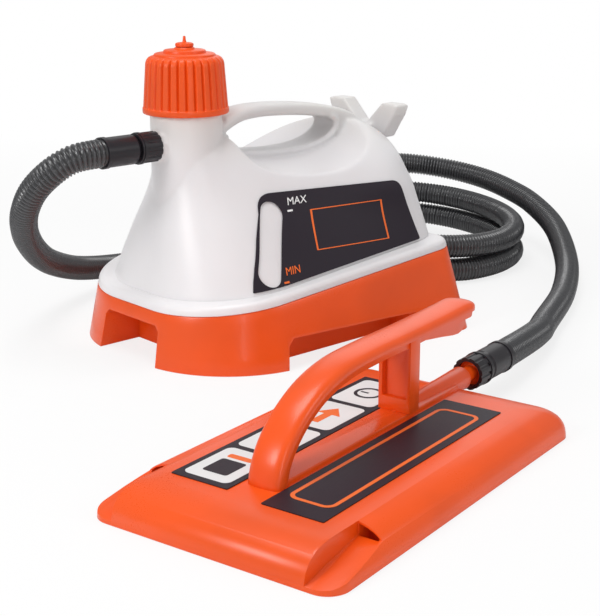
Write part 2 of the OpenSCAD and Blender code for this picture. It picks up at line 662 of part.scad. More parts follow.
// Swivel nut in the union's frame: Z runs from the threaded side to the hose
module union_nut() difference() {
    union() {
        cylinder(h = nut_l, r = nut_r);
        translate([0, 0, nut_l-4]) cylinder(h = 2.4, r = nut_r+0.5);
    }
    translate([0, 0, -1]) cylinder(h = nut_l-lip_t+1, r = thread_r+fit);
    cylinder(h = nut_l+1, r = tail_r+fit);
    for (i = [0:11]) rotate([0, 0, 30*i]) translate([nut_r+1.1, 0, -1])
        cylinder(h = nut_l-4, r = 1.8, $fn = 16);
}
cuff_at = nut_l+nut_off+0.4;
module hose_cuff() difference() {
    union() {
        translate([0, 0, nut_l-lip_t-2.6]) cylinder(h = 2.4, r = collar_r);
        translate([0, 0, nut_l-lip_t-2.6]) cylinder(h = lip_t+4, r = tail_r);
        translate([0, 0, cuff_at]) cylinder(h = 3, r1 = nut_r-2.4, r2 = nut_r-0.4);
        translate([0, 0, cuff_at+3-eps]) cylinder(h = union_l-cuff_at-3-3.6+eps, r = nut_r-0.4);
        translate([0, 0, union_l-3.6-eps]) cylinder(h = 3.6+eps, r = nut_r+0.2);
    }
    translate([0, 0, -1]) cylinder(h = 80, r = union_bore);
    translate([0, 0, union_l-cuff_seat]) cylinder(h = 40, r = hose_r+0.15);
}
module thread_stub(from) difference() {
    union() {
        translate([0, 0, from]) cylinder(h = thread_l, r = thread_r);
        children();
    }
    translate([0, 0, -60]) cylinder(h = 100, r = union_bore-0.2);
}
module outlet_spigot() color("#3a3a3c") at_outlet() thread_stub(1.2) {
    translate([0, 0, -14]) cylinder(h = 16, r = spigot_wall_r);
}
module outlet_seal() color("black") at_outlet() translate([0, 0, 0.1]) difference() {
    cylinder(h = 1, r = thread_r-0.2);
    translate([0, 0, -1]) cylinder(h = 3, r = spigot_wall_r+0.2);
}
module spigot_nut() color("goldenrod") at_outlet() translate([0, 0, -12.8]) difference() {
    cylinder(h = 5, r = 10, $fn = 6);
    translate([0, 0, -1]) cylinder(h = 7, r = spigot_wall_r+fit);
}
module tank_nut() color("#2a2a2c") at_outlet() translate([0, 0, nut_off]) union_nut();
module tank_cuff() color("#2a2a2c") at_outlet() hose_cuff();

module at_union() { at_plate() translate([nut_mouth, 0, pipe_z]) rotate([0, 90, 0]) children(); }
module plate_cuff() color("#2a2a2c") at_union() hose_cuff();
module plate_nut() color("#2a2a2c") at_union() union_nut();

// ---------------------------------------------------------------- steam plate
// Rounded rectangle ring of the plate at height z, drawn in by e
plate_steps = 5;
function plate_ring(z, e) =
    let(r = max(plate_r-0.4*e, 4), cx = plate_l/2-e-r, cy = plate_w/2-e-r)
    [for (q = [0:3], i = [0:plate_steps])
        let(a = 90*q+90*i/plate_steps,
            sx = q == 0 || q == 3 ? 1 : -1, sy = q < 2 ? 1 : -1)
        [sx*cx+r*cos(a), sy*cy+r*sin(a), z]];
// Edge rounding as shares: height of the plate, inset in millimetres
edge = [[0, 0], [0.28, 0.6], [0.52, 2.6], [0.72, 6.4], [0.87, 12], [0.96, 19], [1, 28]];
module plate_dome(drop, e) {
    loft([for (k = edge) plate_ring(k[0]*(plate_h-drop)-(k[0] == 0 ? drop : 0), k[1]+e)]);
}
groove_end = -90;
groove_t = 59;
groove_z = 5;
spine_w = 20;
spine_h = 3;
pipe_in = 98;
module corner_groove(side, grow) {
    mirror([0, side < 0 ? 1 : 0, 0])
        translate([-plate_l/2-10, groove_t-grow, groove_z-grow])
            cube([plate_l/2+10+groove_end, 60, 40]);
}
module plate_shell() color("orangered") at_plate() difference() {
    union() {
        difference() {
            plate_dome(0, 0);
            difference() {
                plate_dome(plate_wall, plate_wall);
                for (s = [-1, 1]) corner_groove(s, plate_wall);
                for (p = baffle_places) translate([p.x, p.y, baffle_z+baffle_t]) cylinder(h = 20, r = 4.5);
                translate([pipe_in-10, -9, 11]) cube([60, 18, 20]);
                for (s = foot_screws) translate([s, 0, plate_h-8]) cylinder(h = 20, r = 5);
            }
        }
        translate([-96, -spine_w/2, plate_h-1]) cube([216, spine_w, spine_h+1]);
        translate([pipe_in-10, 0, pipe_z]) rotate([0, 90, 0])
            cylinder(h = plate_l/2-pipe_in+9, r1 = 6.6, r2 = 8.2);
    }
    for (s = [-1, 1]) corner_groove(s, 0);
    translate([pipe_in, 0, pipe_z]) rotate([0, 90, 0]) cylinder(h = 80, r = pipe_r+fit);
    translate([pipe_in+6, 0, 4]) cylinder(h = pipe_z-4, r = 3.6);
    for (p = baffle_places) translate([p.x, p.y, baffle_z-1]) cylinder(h = 9, r = 1.4);
    for (s = foot_screws) translate([s, 0, 4]) cylinder(h = 40, r = 1.8);
}
baffle_z = 6.5;
baffle_t = 1.8;
baffle_l = plate_l-52;
baffle_w = plate_w-74;
baffle_places = [for (s = [1, -1], e = [-1, 1]) [e*(baffle_l/2-10), s*(baffle_w/2-18)]];
foot_screws = [-76, 58];
module steam_baffle() color("orange") at_plate() difference() {
    translate([-baffle_l/2, -baffle_w/2, baffle_z]) cube([baffle_l, baffle_w, baffle_t-gap]);
    for (i = [-2.5:1:2.5], j = [-1:1]) translate([i*baffle_w/3, j*baffle_w/3, baffle_z-1])
        cylinder(h = 4, r = 3);
    for (p = baffle_places) translate([p.x, p.y, baffle_z-1]) cylinder(h = 4, r = 1.8);
}
module baffle_screws() color("silver") at_plate()
    for (p = baffle_places) translate([p.x, p.y, baffle_z-1.7]) {
        cylinder(h = 1.6, r = 3);
        translate([0, 0, 1.5]) cylinder(h = 8, r = 1.35);
    }
module plate_inlet() color("orangered") at_plate() translate([0, 0, pipe_z]) difference() {
    union() {
        translate([pipe_in+0.3, 0, 0]) rotate([0, 90, 0]) cylinder(h = nut_mouth+8-pipe_in, r = pipe_r);
        translate([nut_mouth+5, 0, 0]) rotate([0, 90, 0]) cylinder(h = thread_l-1, r = thread_r);
    }
    translate([pipe_in+4, 0, 0]) rotate([0, 90, 0]) cylinder(h = 80, r = union_bore-0.4);
    translate([pipe_in+6, 0, -20]) cylinder(h = 20, r = union_bore-0.4);
}

// ---------------------------------------------------------------- plate handle
// Middle line of the handle's outer face: [along the plate, height below the grip]
grip_top = grip_h;
bow = [[-90, grip_h-12], [-87.5, 53], [-83, 41], [-74, 29], [-60, 17.5], [-40, 7.5], [-14, 1.5],
       [18, 0], [52, 0], [88, -0.4], [120, -2.4], [146, -3.6], [155, -2.6]];
wall_t = 2.6;
grip_d = 11;
function bow_dir(i) =
    let(a = bow[max(i-1, 0)], b = bow[min(i+1, len(bow)-1)])
    i == 0 ? [0, 0, 1] : [b[0]-a[0], 0, a[1]-b[1]]/norm([b[0]-a[0], a[1]-b[1]]);
// Channel section, open to the inside of the bow: [across, depth from the outer face]
grip_section = [[-0.5, 1], [-0.5, 0.36], [-0.42, 0.16], [-0.27, 0.03], [0, 0],
                [0.27, 0.03], [0.42, 0.16], [0.5, 0.36], [0.5, 1]];
function grip_ring(i) =
    let(d = bow_dir(i), inward = [d.z, 0, -d.x], c = [bow[i][0], 0, grip_top-bow[i][1]],
        iw = (grip_w-2*wall_t)/grip_w)
    concat([for (p = grip_section) c+[0, -p[0]*grip_w, 0]+inward*(p[1]*grip_d)],
           [for (k = [8:-1:0]) let(p = grip_section[k])
               c+[0, -p[0]*grip_w*iw, 0]+inward*(k == 0 || k == 8 ? grip_d : wall_t+p[1]*(grip_d-wall_t))]);
strut_t = 11.5;
strut_web = 3;
strut_w = grip_w-0.6;
module plate_handle() color("orangered") at_plate() {
    foot = plate_h+spine_h+gap;
    difference() {
        union() {
            sheet_loft([for (i = [0:len(bow)-1]) grip_ring(i)]);
            difference() {
                translate([strut_s-strut_t/2, -strut_w/2, foot-1])
                    cube([strut_t, strut_w, grip_top-foot-wall_t/2+1]);
                for (s = [-1, 1]) translate([strut_s+s*(strut_web/2+10), 0, (foot+grip_top)/2])
                    cube([20, strut_w-2*wall_t, grip_top-foot-2*grip_d+4], center = true);
            }
            translate([0, 8, 0]) rotate([90, 0, 0]) linear_extrude(16)
                polygon([[strut_s, grip_top-wall_t-2], [strut_s, grip_top-16], [96, grip_top-17],
                         [132, grip_top-16], [144, grip_top-12], [149, grip_top-5], [149, grip_top]]);
            translate([-92, -grip_w/2+3, foot-1]) cube([22, grip_w-6, 6]);
        }
        translate([-200, -50, foot-50]) cube([400, 100, 50]);
        for (s = foot_screws) translate([s, 0, foot-1]) cylinder(h = 9, r = 1.3);
    }
}
module handle_screws() color("silver") at_plate()
    for (s = foot_screws) translate([s, 0, plate_h-8-1.8]) {
        cylinder(h = 1.7, r = 3.2);
        translate([0, 0, 1.6]) cylinder(h = 8+spine_h+6, r = 1.25);
    }
module flat_label(x0, x1, y0, y1) { translate([x0, y0, plate_h+0.05]) cube([x1-x0, y1-y0, 0.6]); }
// Borders of the two panels to the plate's ends, front and rear, and to its long sides
name_ends = [35, 44];
guide_ends = [39, 36];
panel_sides = [31, 30];
module name_panel() color("#2b2730") at_plate()
    flat_label(name_ends[0]-plate_l/2, plate_l/2-name_ends[1], panel_sides[0]-plate_w/2, -grip_w/2-0.5);
module guide_panel() color("#2b2730") at_plate()
    flat_label(guide_ends[0]-plate_l/2, plate_l/2-guide_ends[1], grip_w/2+2, plate_w/2-panel_sides[1]);

base_housing();
base_cover();
cover_screws();
deck_screws();
cord_gland();
cable_clamp();
terminal_block();
thermal_cutout();
element_nut();
element_flange();
element_seal();
heating_element();
tank();
level_label();
cap_shell();
cap_liner();
cap_seal();
valve_pin();
valve_spring();
outlet_spigot();
outlet_seal();
spigot_nut();
tank_nut();
tank_cuff();
hose_tank_run();
hose_coil();
hose_plate_run();
plate_cuff();
plate_nut();
plate_shell();
plate_inlet();
steam_baffle();
baffle_screws();
plate_handle();
handle_screws();
name_panel();
guide_panel();
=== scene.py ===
from math import acos, atan2, copysign, cos, exp, hypot, pi, radians, sin, sqrt

import bpy
import numpy as np
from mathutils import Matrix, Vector
from mathutils.kdtree import KDTree


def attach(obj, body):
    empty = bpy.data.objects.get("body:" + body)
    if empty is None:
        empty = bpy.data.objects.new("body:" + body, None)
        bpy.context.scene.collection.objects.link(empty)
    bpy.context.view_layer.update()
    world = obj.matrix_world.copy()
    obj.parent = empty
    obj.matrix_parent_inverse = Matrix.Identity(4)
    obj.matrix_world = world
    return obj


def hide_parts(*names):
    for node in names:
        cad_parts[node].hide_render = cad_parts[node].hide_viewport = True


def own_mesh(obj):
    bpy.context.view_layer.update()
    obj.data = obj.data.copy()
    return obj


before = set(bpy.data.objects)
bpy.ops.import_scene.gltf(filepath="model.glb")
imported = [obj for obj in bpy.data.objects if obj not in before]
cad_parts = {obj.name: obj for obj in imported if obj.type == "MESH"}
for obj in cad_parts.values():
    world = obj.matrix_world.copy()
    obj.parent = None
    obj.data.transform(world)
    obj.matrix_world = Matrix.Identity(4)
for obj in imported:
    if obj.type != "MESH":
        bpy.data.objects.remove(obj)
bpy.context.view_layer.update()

bl_info = {
    "name": "Wallpaper Steamer",
    "version": (1, 0, 0),
    "blender": (4, 5, 0),
    "location": "3D View > Sidebar > Steamer",
    "description": "Builds a wallpaper steamer with its tank, hose and steam plate",
    "category": "Object",
}

MM = 0.001
BASE_AT = Vector((92, 130, 0))
PLATE_AT = Vector((-68, -146, 0))
PLATE_TURN = radians(12.3)

# The camera: place in metres, turn in degrees, focal length and long side of the picture in pixels
CAMERA_AT, CAMERA_TURN = (-0.60535, -0.69559, 0.32884), (73.75, 0, -42.16)
FOCAL_PX, LONG_SIDE_PX, SENSOR_MM = 1351.65, 616, 36

# Sizes of the frame's own outlines, in millimetres
BASE_L, BASE_W, TAPER = 262, 230.8, 0.12
NOSE_R, REAR_R, FLARE = 86, 16, 0.2
LINE_H, LINE_RISE = 55.8, 0.12
BASE_WALL, DECK_T = 3, 3
FLANGE_H, CREASE = 6.8, 11
NECK_X, NECK_R, NECK_H, FINISH_R, FINISH_L, FILLER_R = 67.5, 27.6, 183, 24.9, 23, 21
HANDLE_H, HANDLE_W, HANDLE_T = 184, 26, 10.5
OUTLET_Z = 160.5
BOSS_FACE = NECK_X + NECK_R + 2.6
HALF_L = BASE_L / 2
SIDE_SEC = hypot(1, TAPER * BASE_W / BASE_L)
WALL_Z0 = LINE_H + FLANGE_H
CAP_Z = NECK_H + 0.3
CAP_TOP = CAP_Z + 41
PLATE_L, PLATE_W, PLATE_H, PLATE_R, PLATE_WALL = 280, 170, 21, 14, 2.5
GRIP_TOP, GRIP_W, GRIP_D, GRIP_WALL = 79, 24, 11, 2.6
STRUT_S, SPINE_H, PIPE_Z, NUT_MOUTH = 58, 3, 21.5, 150

# Grip grooves of the cap: width as a share of their pitch, and depth
GROOVE_SHARE, GROOVE_D = 0.125, 2.0
# Height, share of the line's rise, nose inset and radius, half width, rear inset and radius, side inset
WALLS = [(0, 1, 19, 76, 91, 15, 20, 28), (17, 0.75, 24, 66, 79, 15, 23, 32),
         (37, 0.4, 30, 54, 63, 15, 28, 36), (55, 0.15, 36, 42, 48, 15, 34, 39),
         (67, 0, 39, 36, 40, 16, 36, 44), (77, 0, 40, 32, 35, 17, 34, 52),
         (87, 0, 41, 29, 30.5, 18, 30, 66), (93, 0, 42, 27, 28, 20, 26, 78),
         (98, 0, 45, 24, 25, 24, 20, 92), (101, 0, 51, 18, 18.6, 31, 14, 102)]
STRAP = [(-60, 22), (-46, 13.5), (-34, 6.5), (-20, 1.6), (-3, 0), (16, 0.4), (38, 2), (62, 5), (84, 9.6),
         (100, 15.5), (110, 23.5), (114, 34)]
EYE = [(-35, 160.5), (-33, 155.5), (-26, 151.2), (-15, 148.4), (6, 146.4), (27, 145.8), (45, 146.6),
       (60, 149.4), (70, 153), (76.5, 158), (78, 163.5), (73, 167), (58, 169), (42, 171.6), (31, 173),
       (7, 174), (-9, 173), (-24, 169.5), (-32, 165)]
# Beside the handle: x, the hollow's height at the handle, its reach to the wall and its height there
HOLLOW = [(-46, 174, 34, 172), (-38, 161, 36, 155), (-33, 153.5, 38.5, 147.6), (-25, 147.6, 44, 140.5),
          (-13, 143.6, 50.5, 136.4), (0, 141.9, 55, 134.4), (13, 141, 59, 133.6), (27, 140.8, 63, 134),
          (40, 141.4, 65, 136), (52, 142.6, 65, 139.7), (64, 144.8, 62, 145), (74, 148, 57, 150.6),
          (82, 152.4, 50, 157), (88, 158.5, 43, 164), (95, 170, 36, 174)]
BOW = [(-90, 67), (-87.5, 53), (-83, 41), (-74, 29), (-60, 17.5), (-40, 7.5), (-14, 1.5), (18, 0), (52, 0),
       (88, -0.3), (114, -0.8), (130, -1.2), (137, -0.2), (141, 1.4), (144.5, 3.7), (147, 6.4)]
TANK_ROUTE = [(-169, 4, 158), (-181, 13, 149), (-187, 29, 134), (-184, 48, 116), (-174, 68, 98),
              (-157, 90, 79), (-132, 115, 59), (-105, 137, 44), (-72, 157, 31), (-33, 173, 22),
              (16, 185, 16), (67, 191, 14), (115, 192, 15), (159, 191, 18), (200, 189, 20)]
PLATE_ROUTE = [(326, 183, 72), (362, 166, 70), (388, 134, 65), (400, 96, 59), (396, 56, 53), (383, 15, 46),
               (353, -37, 34), (299, -93, 18), (231, -140, 11), (156, -180, 11), (116, -202, 14)]


# ---- places in the frame
def at_base(p):
    return (Vector(p) + BASE_AT) * MM


def at_plate(p):
    c, s = cos(PLATE_TURN), sin(PLATE_TURN)
    return (Vector((p[0] * c - p[1] * s, p[0] * s + p[1] * c, p[2])) + PLATE_AT) * MM


def at_outlet(p):
    """Z runs out of the tank along the outlet."""
    return at_base((-BOSS_FACE - p[2], p[1], OUTLET_Z + p[0]))


def on_neck(p):
    """Z runs up the filler neck's axis."""
    return at_base((p[0] - NECK_X, p[1], p[2]))


def along_base(p):
    """An outline drawn across the base is carried along it."""
    return at_base((p[2], p[0], p[1]))


def along_plate(p):
    """An outline drawn across the plate is carried along it."""
    return at_plate((p[2], p[0], p[1]))


def along_pipe(p):
    """Z runs along the plate's inlet pipe."""
    return at_plate((p[2], p[0], PIPE_Z + p[1]))


# ---- outlines
def lerp(a, b, t):
    return a + (b - a) * t


def half_w(x):
    return BASE_W / 2 * (1 + TAPER * x / HALF_L)


def touch_angle(o):
    """Where the straight side touches both arcs of an outline."""
    nx, nr, ny, rx, rr, ry = o
    d = (rx - rr - nx - nr, ry - ny)
    return atan2(d[1], d[0]) + acos((nr - rr) / hypot(*d))


def plan(o, rear=14, side=14, nose=30):
    """Closed outline of two arcs and their mirror images, as in the frame."""
    nx, nr, ny, rx, rr, ry = o
    t = touch_angle(o)
    back = [(rx - rr + rr * cos(a), ry + rr * sin(a)) for a in (t * i / rear for i in range(rear + 1))]
    turns = [t + (pi - t) * i / nose for i in range(nose + 1)]
    front = [(nx + nr + nr * cos(a), ny + nr * sin(a)) for a in turns]
    a, b = back[-1], front[0]
    between = [(lerp(a[0], b[0], i / side), lerp(a[1], b[1], i / side)) for i in range(1, side)]
    half = back + between + front
    return half + [(x, -y) for x, y in reversed(half)]


def base_outline(e):
    rn, rr = NOSE_R - e, max(REAR_R - 0.1 * e, 3)
    return (-HALF_L + e, rn, half_w(NOSE_R - HALF_L) - (e + rn) * SIDE_SEC,
            HALF_L - e, rr, half_w(HALF_L - rr) - (e + rr) * SIDE_SEC)


def base_ring(z, e):
    return [at_base((x, y, z)) for x, y in plan(base_outline(e + FLARE * z))]


def line_ring(off, e):
    """The base's outline on the sloping plane between base and tank."""
    ring = []
    for (x0, y0), (x1, y1) in zip(plan(base_outline(e)), plan(base_outline(e + FLARE * 100))):
        kx, ky = (x1 - x0) / 100, (y1 - y0) / 100
        z = (LINE_H + off + LINE_RISE * x0) / (1 - LINE_RISE * kx)
        ring.append(at_base((x0 + kx * z, y0 + ky * z, z)))
    return ring


def wall_at(h):
    """The tank's section at height h, on one smooth curve through the stated sections."""
    heights = [w[0] for w in WALLS]
    k = max(i for i in range(len(WALLS) - 1) if heights[i] <= h or i == 0)
    a, b = WALLS[k], WALLS[k + 1]
    before, after = WALLS[max(k - 1, 0)], WALLS[min(k + 2, len(WALLS) - 1)]
    span = b[0] - a[0]
    t = (h - a[0]) / span
    out = []
    for c in range(8):
        m0 = (b[c] - before[c]) / max(b[0] - before[0], 1e-6) * span
        m1 = (after[c] - a[c]) / max(after[0] - a[0], 1e-6) * span
        out.append((2 * t**3 - 3 * t**2 + 1) * a[c] + (t**3 - 2 * t**2 + t) * m0
                   + (3 * t**2 - 2 * t**3) * b[c] + (t**3 - t**2) * m1)
    return out


def wall_outline(w):
    rear, rr = HALF_L - w[5], w[6]
    return -HALF_L + w[2], w[3], w[4] - w[3], rear, rr, half_w(rear - rr) - w[7] - rr


def wall_ring(h, drop=0):
    w = wall_at(h)
    return [at_base((x, y, WALL_Z0 + h - drop + w[1] * LINE_RISE * x)) for x, y in plan(wall_outline(w))]


def face_y(x, h):
    """Half width of the tank's side face at x, at height h above the flange."""
    o = wall_outline(wall_at(h))
    nx, nr, ny, rx, rr, ry = o
    t = touch_angle(o)
    a = (nx + nr + nr * cos(t), ny + nr * sin(t))
    b = (rx - rr + rr * cos(t), ry + rr * sin(t))
    if x < a[0]:
        return ny + sqrt(max(nr * nr - (x - nx - nr) ** 2, 0))
    if x > b[0]:
        return ry + sqrt(max(rr * rr - (x - rx + rr) ** 2, 0))
    return lerp(a[1], b[1], (x - a[0]) / (b[0] - a[0]))


def on_side(x, z, out):
    """Point on the tank's near side face, from x and height."""
    h = z - WALL_Z0
    for _ in range(6):
        h = z - WALL_Z0 - wall_at(max(h, 0))[1] * LINE_RISE * x
    return at_base((x, -face_y(x, max(h, 0)) - out, z))


def smooth_line(points, parts, closed=False):
    """More points on a smooth curve through these."""
    p = [Vector(q) for q in points]
    n = len(p)
    out = []
    for i in range(n if closed else n - 1):
        a, b, c, d = (p[k % n if closed else min(max(k, 0), n - 1)] for k in range(i - 1, i + 3))
        for j in range(parts):
            t = j / parts
            out.append(0.5 * (2 * b + (c - a) * t + (2 * a - 5 * b + 4 * c - d) * t * t
                              + (3 * b - a - 3 * c + d) * t**3))
    return out if closed else out + [p[-1]]


def circle(r, n):
    return [(r * cos(a), r * sin(a)) for a in (2 * pi * i / n for i in range(n))]


def moved(outline, x, y):
    return [(x + a, y + b) for a, b in outline]


def mirrored(half):
    """An outline closed by its mirror image."""
    return half + [(-x, y) for x, y in reversed(half)]


def rounded(x0, x1, y0, y1, r, n=8):
    """Rectangle with rounded corners."""
    out = []
    xa, xb, ya, yb = x0 + r, x1 - r, y0 + r, y1 - r
    for cx, cy, start in ((xb, yb, 0), (xa, yb, 90), (xa, ya, 180), (xb, ya, 270)):
        for i in range(n + 1):
            a = radians(start + 90 * i / n)
            out.append((cx + r * cos(a), cy + r * sin(a)))
    return out


# ---- bench tools
def clear_bench():
    if bpy.context.object and bpy.context.object.mode != "OBJECT":
        bpy.ops.object.mode_set(mode="OBJECT")
    bpy.ops.object.select_all(action="DESELECT")


def pick(*obs):
    clear_bench()
    for o in obs:
        o.hide_set(False)
        o.select_set(True)
    bpy.context.view_layer.objects.active = obs[0]


def face_out(ob, merge=0, fill=False):
    """Joins close points and fills holes where asked, and turns all faces outward."""
    pick(ob)
    bpy.ops.object.mode_set(mode="EDIT")
    bpy.ops.mesh.select_all(action="SELECT")
    if merge:
        bpy.ops.mesh.remove_doubles(threshold=merge)
    if fill:
        bpy.ops.mesh.fill_holes(sides=0)
        bpy.ops.mesh.select_all(action="SELECT")
    bpy.ops.mesh.normals_make_consistent(inside=False)
    bpy.ops.object.mode_set(mode="OBJECT")
    return ob


def wrap(name, rings, closed=True, fill=True):
    """A grid laid over rings of points; its open ends are filled."""
    rows, cols = len(rings), len(rings[0])
    across = cols if closed else cols - 1
    clear_bench()
    bpy.ops.mesh.primitive_grid_add(x_subdivisions=across, y_subdivisions=rows - 1, size=2)
    ob = bpy.context.object
    ob.name = name
    grid = np.zeros(len(ob.data.vertices) * 3, np.float32)
    ob.data.vertices.foreach_get("co", grid)
    col = np.rint((grid[0::3] + 1) / 2 * across).astype(int) % cols
    row = np.rint((grid[1::3] + 1) / 2 * (rows - 1)).astype(int)
    points = np.array([[tuple(p) for p in r] for r in rings], np.float32)
    ob.data.vertices.foreach_set("co", points[row, col].ravel())
    ob.data.update()
    return face_out(ob, merge=2e-6, fill=fill)


def prism(name, outline, low, high, place):
    """A flat outline carried from low to high."""
    return wrap(name, [[place((x, y, z)) for x, y in outline] for z in (low, high)])


def lathe(name, profile, place, steps, flutes=0, depth=0):
    """A profile of (radius, height) or (radius, height, groove share) spun round its axis."""
    rings = []
    for p in profile:
        share = p[2] if len(p) > 2 else 0
        ring = []
        for i, (a, b) in enumerate(circle(1, steps)):
            r = p[0]
            if share:
                phase = (flutes * i / steps) % 1 - 0.5
                r -= depth * share * exp(-(phase / GROOVE_SHARE) ** 2)
            ring.append(place((r * a, r * b, p[1])))
        rings.append(ring)
    return wrap(name, rings)


def finish_with(ob, kind, **settings):
    """Adds a modifier, sets it and applies it."""
    pick(ob)
    bpy.ops.object.modifier_add(type=kind)
    m = ob.modifiers[-1]
    for k, v in settings.items():
        setattr(m, k, v)
    bpy.ops.object.modifier_apply(modifier=m.name)
    return ob


def cut(ob, tool, kind="DIFFERENCE"):
    finish_with(ob, "BOOLEAN", object=tool, operation=kind, solver="EXACT")
    bpy.data.objects.remove(tool)
    return ob


def soften(ob, width, segments=2, angle=32):
    return finish_with(ob, "BEVEL", width=width * MM, segments=segments, limit_method="ANGLE",
                       angle_limit=radians(angle), use_clamp_overlap=True, miter_outer="MITER_ARC")


def smooth_shade(ob, angle=35):
    pick(ob)
    bpy.ops.object.shade_smooth_by_angle(angle=radians(angle))
    return ob


def weld(name, *obs):
    pick(*obs)
    bpy.ops.object.join()
    ob = bpy.context.object
    ob.name = name
    return ob


def dress(ob, finish):
    ob.data.materials.clear()
    ob.data.materials.append(FINISH[finish])


def done(ob, body, slot, finish, *nodes):
    """Gives a finished piece its finish and the body it rides on, and hides the nodes that it stands for."""
    dress(ob, finish)
    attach(ob, body)
    if nodes:
        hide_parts(*nodes)
    return ob


# ---- finishes
class Wire:
    """A value in a material. Arithmetic on it adds Math nodes."""

    def __init__(self, paint, socket):
        self.paint, self.socket = paint, socket

    def math(self, operation, *values):
        return self.paint.node("ShaderNodeMath", {"operation": operation}, dict(enumerate(values)))

    def __add__(self, o):
        return self.math("ADD", self, o)

    def __sub__(self, o):
        return self.math("SUBTRACT", self, o)

    def __rsub__(self, o):
        return self.math("SUBTRACT", o, self)

    def __mul__(self, o):
        return self.math("MULTIPLY", self, o)

    def __abs__(self):
        return self.math("ABSOLUTE", self)

    def held(self):
        """Kept between 0 and 1."""
        return self.math("MINIMUM", self.math("MAXIMUM", self, 0.0), 1.0)


def dimmed(colour, share):
    return tuple(c * share for c in colour)


class Paint:
    """The nodes of a material or of the world."""

    def __init__(self, name, owners="materials", end="ShaderNodeOutputMaterial"):
        self.owner = getattr(bpy.data, owners).new(name)
        self.owner.use_nodes = True
        self.tree = self.owner.node_tree
        self.tree.nodes.clear()
        self.end = self.tree.nodes.new(end)

    def close(self, shader):
        """Leads the last shader to the output."""
        self.tree.links.new(shader.socket, self.end.inputs[0])
        return self.owner

    def node(self, kind, settings=None, sockets=None, out=0):
        n = self.tree.nodes.new(kind)
        for k, v in (settings or {}).items():
            setattr(n, k, v)
        for k, v in (sockets or {}).items():
            if isinstance(v, Wire):
                self.tree.links.new(v.socket, n.inputs[k])
            elif isinstance(v, tuple) and len(v) == 3 and n.inputs[k].type == "RGBA":
                n.inputs[k].default_value = (*v, 1)
            else:
                n.inputs[k].default_value = v
        return Wire(self, n.outputs[out])

    def place(self):
        return self.node("ShaderNodeTexCoord", out=3)

    def axis(self, which):
        return self.node("ShaderNodeSeparateXYZ", sockets={0: self.place()}, out=which)

    def noise(self, scale, detail):
        wanted = {"Vector": self.place(), "Scale": scale, "Detail": detail}
        return self.node("ShaderNodeTexNoise", sockets=wanted)

    def mix(self, share, a, b):
        return self.node("ShaderNodeMix", {"data_type": "RGBA"}, {0: share, 6: a, 7: b}, out=2)

    def bump(self, height, distance):
        return self.node("ShaderNodeBump", sockets={"Height": height, "Distance": distance, "Strength": 1.0})

    def surface(self, **sockets):
        named = {k.replace("_", " "): v for k, v in sockets.items()}
        return self.close(self.node("ShaderNodeBsdfPrincipled", sockets=named))


def moulded(name, colour, roughness, coat=0.0):
    """Injection moulding: even colour with faint flow marks and a fine spark texture."""
    p = Paint(name)
    flow, spark = p.noise(14, 3), p.noise(1400, 2)
    tone = p.mix(((flow - 0.45) * 2.2).held(), colour, dimmed(colour, 0.82))
    worn = (spark - 0.5) * 0.10 + (flow - 0.5) * 0.10
    return p.surface(Base_Color=tone, Roughness=worn + roughness, Normal=p.bump(spark, 0.000006),
                     Specular_IOR_Level=0.4, Coat_Weight=coat, Coat_Roughness=0.16)


def blow_moulded(name, colour):
    """Milky blow moulding, creamier above 142 mm, with its parting line down the middle, and a painted glow
    that lightens its nose end.
    """
    p = Paint(name)
    cloud, skin = p.noise(9, 2), p.noise(420, 2)
    # Creamier from 142 mm up, by height alone.
    high = ((p.axis(2) - 0.142) * 24).held()
    cream = tuple(c * k for c, k in zip(colour, (0.955, 0.95, 0.90)))
    tone = p.mix(((cloud - 0.42) * 2).held(), p.mix(high, colour, cream), dimmed(colour, 0.955))
    parting = (1 - abs(p.axis(1) - BASE_AT[1] * MM) * 1500).held()
    # Painted glow: the tank's nose end, below x = 66 mm in the scene, gives off a faint light of its own that
    # lightens that side.
    nose_glow_mask = ((0.066 - p.axis(0)) * 11).held()
    return p.surface(Base_Color=tone, Roughness=skin * 0.10 + 0.30, Subsurface_Weight=0.22,
                     Emission_Color=p.mix(nose_glow_mask, (0.0, 0.0, 0.0), (1.0, 0.98, 0.98)), Emission_Strength=0.13,
                     Subsurface_Radius=(1.0, 0.92, 0.85), Subsurface_Scale=0.008,
                     Normal=p.bump(skin * 0.2 + parting, 0.00012))


def ribbed(name, ridge, groove):
    """Corrugated hose: glossy ridges, with painted shade darkening the grooves between them."""
    p = Paint(name)
    # Painted shade: the deeper a point lies in a groove, the nearer its colour comes to the dark groove
    # colour.
    deep = p.node("ShaderNodeAttribute", {"attribute_name": "groove"}, out=2)
    scuff = p.noise(180, 3)
    tone = p.mix(deep, p.mix(scuff * 0.5, ridge, dimmed(ridge, 0.7)), groove)
    return p.surface(Base_Color=tone, Roughness=scuff * 0.10 + deep * 0.25 + 0.20, Coat_Weight=0.5,
                     Coat_Roughness=0.16)


def metal(name, colour, roughness):
    p = Paint(name)
    drawn = p.noise(700, 3)
    tone = p.mix((drawn - 0.3).held(), colour, dimmed(colour, 0.78))
    return p.surface(Base_Color=tone, Roughness=drawn * 0.16 + roughness, Metallic=1.0,
                     Normal=p.bump(drawn, 0.00001))


def printed(name, colour):
    """Printed film: flat ink under a faintly pebbled laminate."""
    p = Paint(name)
    pebble, wash = p.noise(900, 2), p.noise(22, 2)
    tone = p.mix(wash * 0.4, colour, dimmed(colour, 0.8))
    return p.surface(Base_Color=tone, Roughness=pebble * 0.08 + 0.42, Specular_IOR_Level=0.22,
                     Normal=p.bump(pebble, 0.000006))


FINISH = {}


